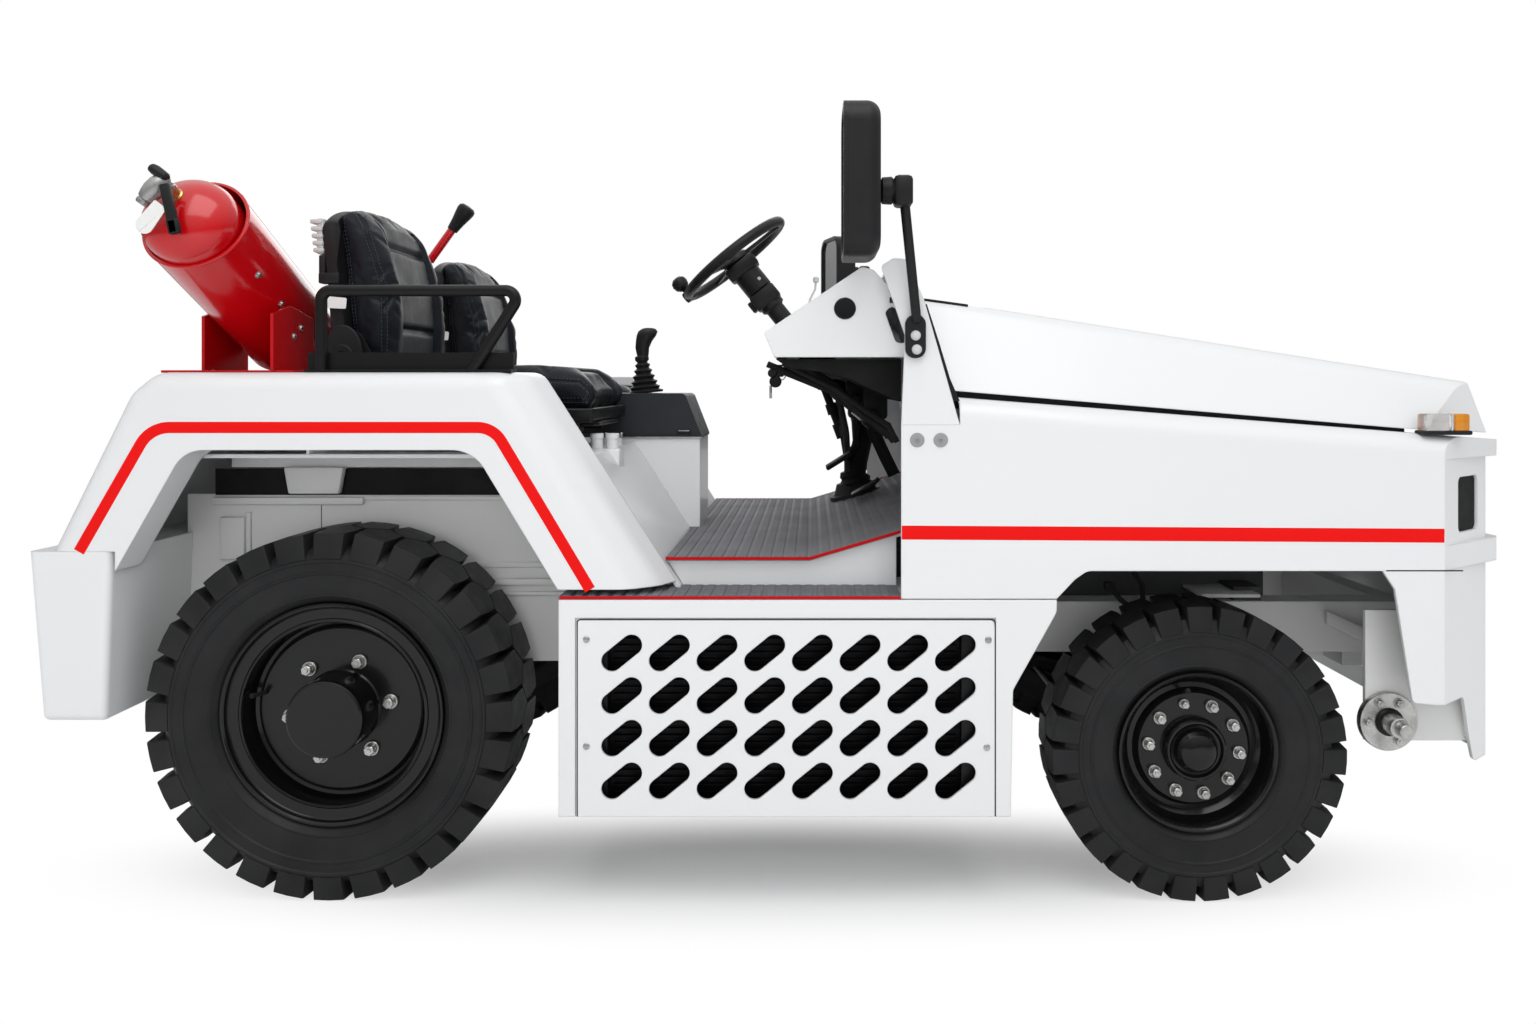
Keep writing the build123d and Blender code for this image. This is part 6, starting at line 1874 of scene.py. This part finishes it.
# ---------------------------------------------------------------- mirrors, extinguisher, lamps and tow points
@dataclass
class Mirrors:
    """Glass, bezels, clamps and bracket bolts of both mirrors.

    Attributes:
        face_x: Rear face of the right mirror's housing.
        middle: Distance of the mirrors from the tug's middle.
        depth: Depth of a housing.
        height: Height of the right mirror's middle.
        turn: Degrees that the left mirror is turned in.
        drop: How much lower the left mirror sits.
    """

    face_x: float = 110.0
    middle: float = 735.0
    depth: float = 58.0
    height: float = 1345.5
    turn: float = 17.0
    drop: float = 37.0

    def head(self, side: Side) -> Matrix:
        """Local X across the glass, Y up and Z to the rear, in the middle of the rear face.

        Args:
            side: Side of the mirror.

        Returns:
            The matrix.
        """
        base = Matrix(((0, 0, -1, 0), (-1, 0, 0, 0), (0, 1, 0, 0), (0, 0, 0, 1)))
        if side is Side.RIGHT:
            return Matrix.Translation((self.face_x, -self.middle, self.height)) @ base
        hinge = Matrix.Translation((self.face_x + self.depth, self.middle, 0))
        turned = hinge @ Matrix.Rotation(math.radians(self.turn), 4, "Z") @ hinge.inverted()
        shift = Matrix.Translation((-6, -8, -self.drop))
        return shift @ turned @ Matrix.Translation((self.face_x, self.middle, self.height)) @ base

    @staticmethod
    def oblong(half: float, tall: float, turn: float) -> list[Flat]:
        """Outline of a glass or a bezel by its half width, half height and corner radius."""
        corners = [(-half, -tall), (half, -tall), (half, tall), (-half, tall)]
        return rounded(corners, dict.fromkeys(range(4), turn), 10)

    def build(self) -> None:
        """Make the glass, bezels, clamps and bolts."""
        glass, rims, bolts = Piece(), Piece(), Piece()
        for side in Side:
            to = self.head(side)
            pane = self.oblong(74, 125, 32.56)
            glass.prism(pane, 1.8, to @ Matrix.Translation((0, 0, -1)), 0.4, 1)
            outer, inner = self.oblong(84.5, 136, 37.18), self.oblong(75, 126, 33)
            bezel = ((outer, -7, 1, 1), (outer, 6.5, 1, 1), (outer, 7.5, 0.97, 0.98), (inner, 7.5, 1, 1),
                     (inner, -1.5, 1, 1))
            rims.loft([[to @ Vector((px * wide, py * tall, z)) for px, py in outline]
                       for outline, z, wide, tall in bezel])
            x, y = 176.0, side.value * self.middle
            rims.lathe([(0, -6), (17, -6), (24, -2), (25, 14), (20, 20), (0, 20)],
                       along((x, y, 1333), (x + 1, y, 1333)), 28)
            rims.block((x + 18, y - 23, 1304), (x + 52, y + 23, 1359), 8)
            for bx, bz in ((241, 1077), (243, 1051)):
                bolts.lathe([(0, 0), (9.5, 0), (9.5, 1.5), (7.6, 4.6), (4, 6.4), (0, 7)],
                            upright((bx, side.value * 662, bz), side), 24)
        finish_all((glass, "mirror_glass", MIRROR_GLASS), (rims, "mirror_bezels", BLACK_PLASTIC),
                   (bolts, "mirror_bolts", PALE_GREY))
        LOG.info("mirrors")


@dataclass
class Extinguisher:
    """Valve, collar, carrying lever and blank tag, and the rivets and bolts of the holder.

    Attributes:
        neck: Point on the bottle's top.
        tilt: Degrees between the bottle's axis and the ground.
        valve: Middle of the valve's casting.
    """

    neck: Point = (-1102.0, -703.0, 1320.0)
    tilt: float = 27.0
    valve: Point = (-1122.0, -748.0, 1334.0)

    def build(self) -> None:
        """Make the valve group and the fixings."""
        brass, cast, black, tag, pins = Piece(), Piece(), Piece(), Piece(), Piece()
        a = math.radians(self.tilt)
        start, side = Vector(self.neck), Vector((0, 1, 0))
        to = along(start, start + Vector((0, -math.cos(a), math.sin(a))))
        brass.lathe([(0, -12), (27, -12), (27, 1), (24, 4), (19, 6), (14, 7), (14, 20), (11, 22), (11, 40),
                     (0, 40)], to, 32)
        valve, down = Vector(self.valve), Vector((-0.62, -0.1, -0.78))
        cast.rod((-1100, -718, 1331), valve + Vector((0, 0, 1)), 12, 22, 3)
        cast.loft([hoop(valve + down * h, Vector((0.78, 0, -0.62)) * r, side * r, 24)
                   for h, r in ((-30, 9), (-24, 14), (-12, 17), (2, 18), (14, 16), (22, 14), (26, 8))])
        cast.lathe([(0, 24), (10, 24), (12, 27), (12, 32), (10, 35), (0, 35)], along(valve, valve + down), 24)
        black.loft([hoop(Vector((-1096, -752, 1352)) + Vector((-26, -2, 18)) * (h / 30),
                         Vector((0.55, 0, 0.83)) * 0.8 * r, side * r, 20)
                    for h, r in ((0, 6), (3, 9.5), (12, 11), (24, 12), (31, 10), (34, 5))])
        lever = placed((-1093, -764, 1334), -12, "Y")
        black.block((-8.5, -6, -84), (8.5, 6, 6), 3, lever)
        black.block((-10, -6, -84), (10, 7, -58), 3, lever)
        sheet = placed((-1118, -766, 1280), 38, "Y")
        outline = rounded([(-17, -32), (17, -32), (13, 30), (-13, 30)], {0: 16, 1: 16, 2: 3, 3: 3}, 6)
        tag.prism(outline, 1.4, sheet @ placed((0, 0, 0), 90), 0.3, 1)
        pins.rod((-1088, -742, 1336), (-1088, -752, 1341), 4.5, 14, 1)
        for at, axis in (((-1018, -591, 1197), (0.85, -0.24, -0.46)),
                         ((-1019, -499, 1148), (0.85, -0.24, -0.47)),
                         ((-1005, -476, 1083), (1, 0, 0)), ((-1005, -446, 1102), (1, 0, 0))):
            pins.lathe([(0, 0), (7.5, 0), (7.5, 1.2), (5.5, 1.4), (4.8, 4), (2, 5.2), (0, 5.2)],
                       along(at, Vector(at) + Vector(axis)), 20)
        for x, y in ((-1192, -440), (-1040, -440), (-1192, -300), (-1040, -300)):
            pins.bolt((x, y, 1009), (0, 0, 1), 15, 6, 12 * x, 9)
        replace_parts(cast.finish("valve_casting", ALLOY), "extinguisher_valve")
        finish_all((brass, "valve_collar", BRASS), (black, "valve_lever", BLACK_PLASTIC),
                   (tag, "valve_tag", TAG), (pins, "holder_fixings", ZINC))
        LOG.info("extinguisher")


@dataclass
class Ends:
    """Indicators, grille and lamp details at the front, tow fittings, cooler posts and brake pipes.

    Attributes:
        flange: Middle of the lashing flange.
    """

    flange: Point = (1170.0, 0.0, 330.0)

    def indicators(self) -> None:
        """Dark pad, clear rear half and amber front half of each indicator."""
        pads, clear, amber = Piece(), Piece(), Piece()
        pads.block((1196, -647, 891), (1287, -610, 899.4), 3)
        clear.block((1200, -645, 898), (1254, -612, 931), 4)
        amber.block((1254.3, -645, 898), (1283, -612, 931), 4)
        pads.mirror_y()
        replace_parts(pads.finish("indicator_pads", BLACK_PLASTIC), "indicator_lamps")
        finish_all((clear, "indicator_clear", CLEAR), (amber, "indicator_amber", AMBER), mirrored=True)

    def front(self) -> None:
        """Slats in the grilles and bowls with rims in the headlamps."""
        slats, bright = Piece(), Piece()
        for k in range(7):
            z = 704 + 17.5 * k
            slats.block((1388, -240, z), (1394, 240, z + 8), 1.5)
        for hand in (-1, 1):
            y = hand * 370
            bright.lathe([(60, 0), (63, 0), (64, 4), (58, 5), (56, 2), (48, -6), (30, -9), (0, -10)],
                         along((1389, y, 756), (1390, y, 756)), 48)
            for y0, z0, y1, z1 in ((-87, 690, -80, 822), (80, 690, 87, 822), (-87, 816, 87, 823),
                                   (-87, 689, 87, 696)):
                slats.block((1386, y + y0, z0), (1392.5, y + y1, z1), 1.5)
        finish_all((slats, "front_slats", SATIN_BLACK), (bright, "headlamp_bowls", SILVER))

    def tow(self) -> None:
        """Bolted lashing flanges on the front brackets, and bolts of the rear hitch."""
        flange, dark, bolts = Piece(), Piece(), Piece()
        x, _, z = self.flange
        to = upright((x, -557.2, z), Side.RIGHT)
        flange.lathe([(0, 0), (56.6, 0), (57, 2), (57, 11), (55.6, 13.4), (0, 13.4)], to, 64)
        dark.lathe([(20, 13), (27, 13), (27, 17), (24, 20), (20, 20)], to, 36)
        flange.lathe([(0, 13), (20, 13), (20, 50), (18, 57), (13.6, 58), (13.6, 76.6), (12, 78), (0, 78)],
                     to, 32)
        for degrees in (62, 118, 180, 296):
            a = math.radians(degrees)
            bolts.bolt((x + 41 * math.cos(a), -570.6, z + 41 * math.sin(a)), (0, -1, 0), 16, 7, degrees, 10)
        for piece in (flange, dark, bolts):
            piece.mirror_y()
        for high in (396, 564):
            for hand in (-1, 1):
                bolts.bolt((-1300, hand * 70, high), (0, hand, 0), 22, 9, 10, 15)
        finish_all((flange, "lashing_flanges", ZINC), (dark, "lashing_collars", SATIN_BLACK),
                   (bolts, "tow_bolts", ZINC))

    def coolers(self) -> None:
        """Posts and flat fins behind the slotted panels."""
        posts, fins = Piece(), Piece()
        for x in (-372, 330):
            posts.block((x, -628, 190), (x + 34, -606, 540), 3)
        for k in range(26):
            fins.block((-330, -612, 196 + 13.2 * k), (322, -606, 198.4 + 13.2 * k))
        finish_all((posts, "cooler_posts", SATIN_BLACK), (fins, "cooler_fin_rows", FINS), mirrored=True)

    def brakes(self) -> None:
        """Spring seats, struts and brake pipes inside the front arches."""
        plates, pipes = Piece(), Piece()
        plates.block((892, -330, 524), (1020, -206, 532), 2)
        plates.prism([(1168, 494), (1345, 412), (1345, 384), (1168, 464)], 10,
                     placed((0, -310, 0), 90), 2, 2)
        pipes.tube([(700, -300, 545), (716, -330, 520), (742, -345, 500), (762, -340, 520), (766, -320, 552),
                    (752, -300, 575)], 6, 12)
        pipes.block((690, -306, 536), (712, -288, 552), 2)
        finish_all((plates, "front_brackets", UNDER), (pipes, "brake_pipes", HOSE), mirrored=True)

    def build(self) -> None:
        """Make the fittings at both ends."""
        self.indicators()
        self.front()
        self.tow()
        self.coolers()
        self.brakes()
        LOG.info("ends")


def main() -> None:
    """Build every class in order."""
    logging.basicConfig(level=logging.INFO, format="%(name)s: %(message)s")
    Stage().build()
    Bodywork().build()
    Seats().build()
    for group in (Steering(), Levers(), Mirrors(), Extinguisher(), Ends()):
        group.build()
    for wheel in wheels():
        wheel.build()


if __name__ == "__main__":
    main()
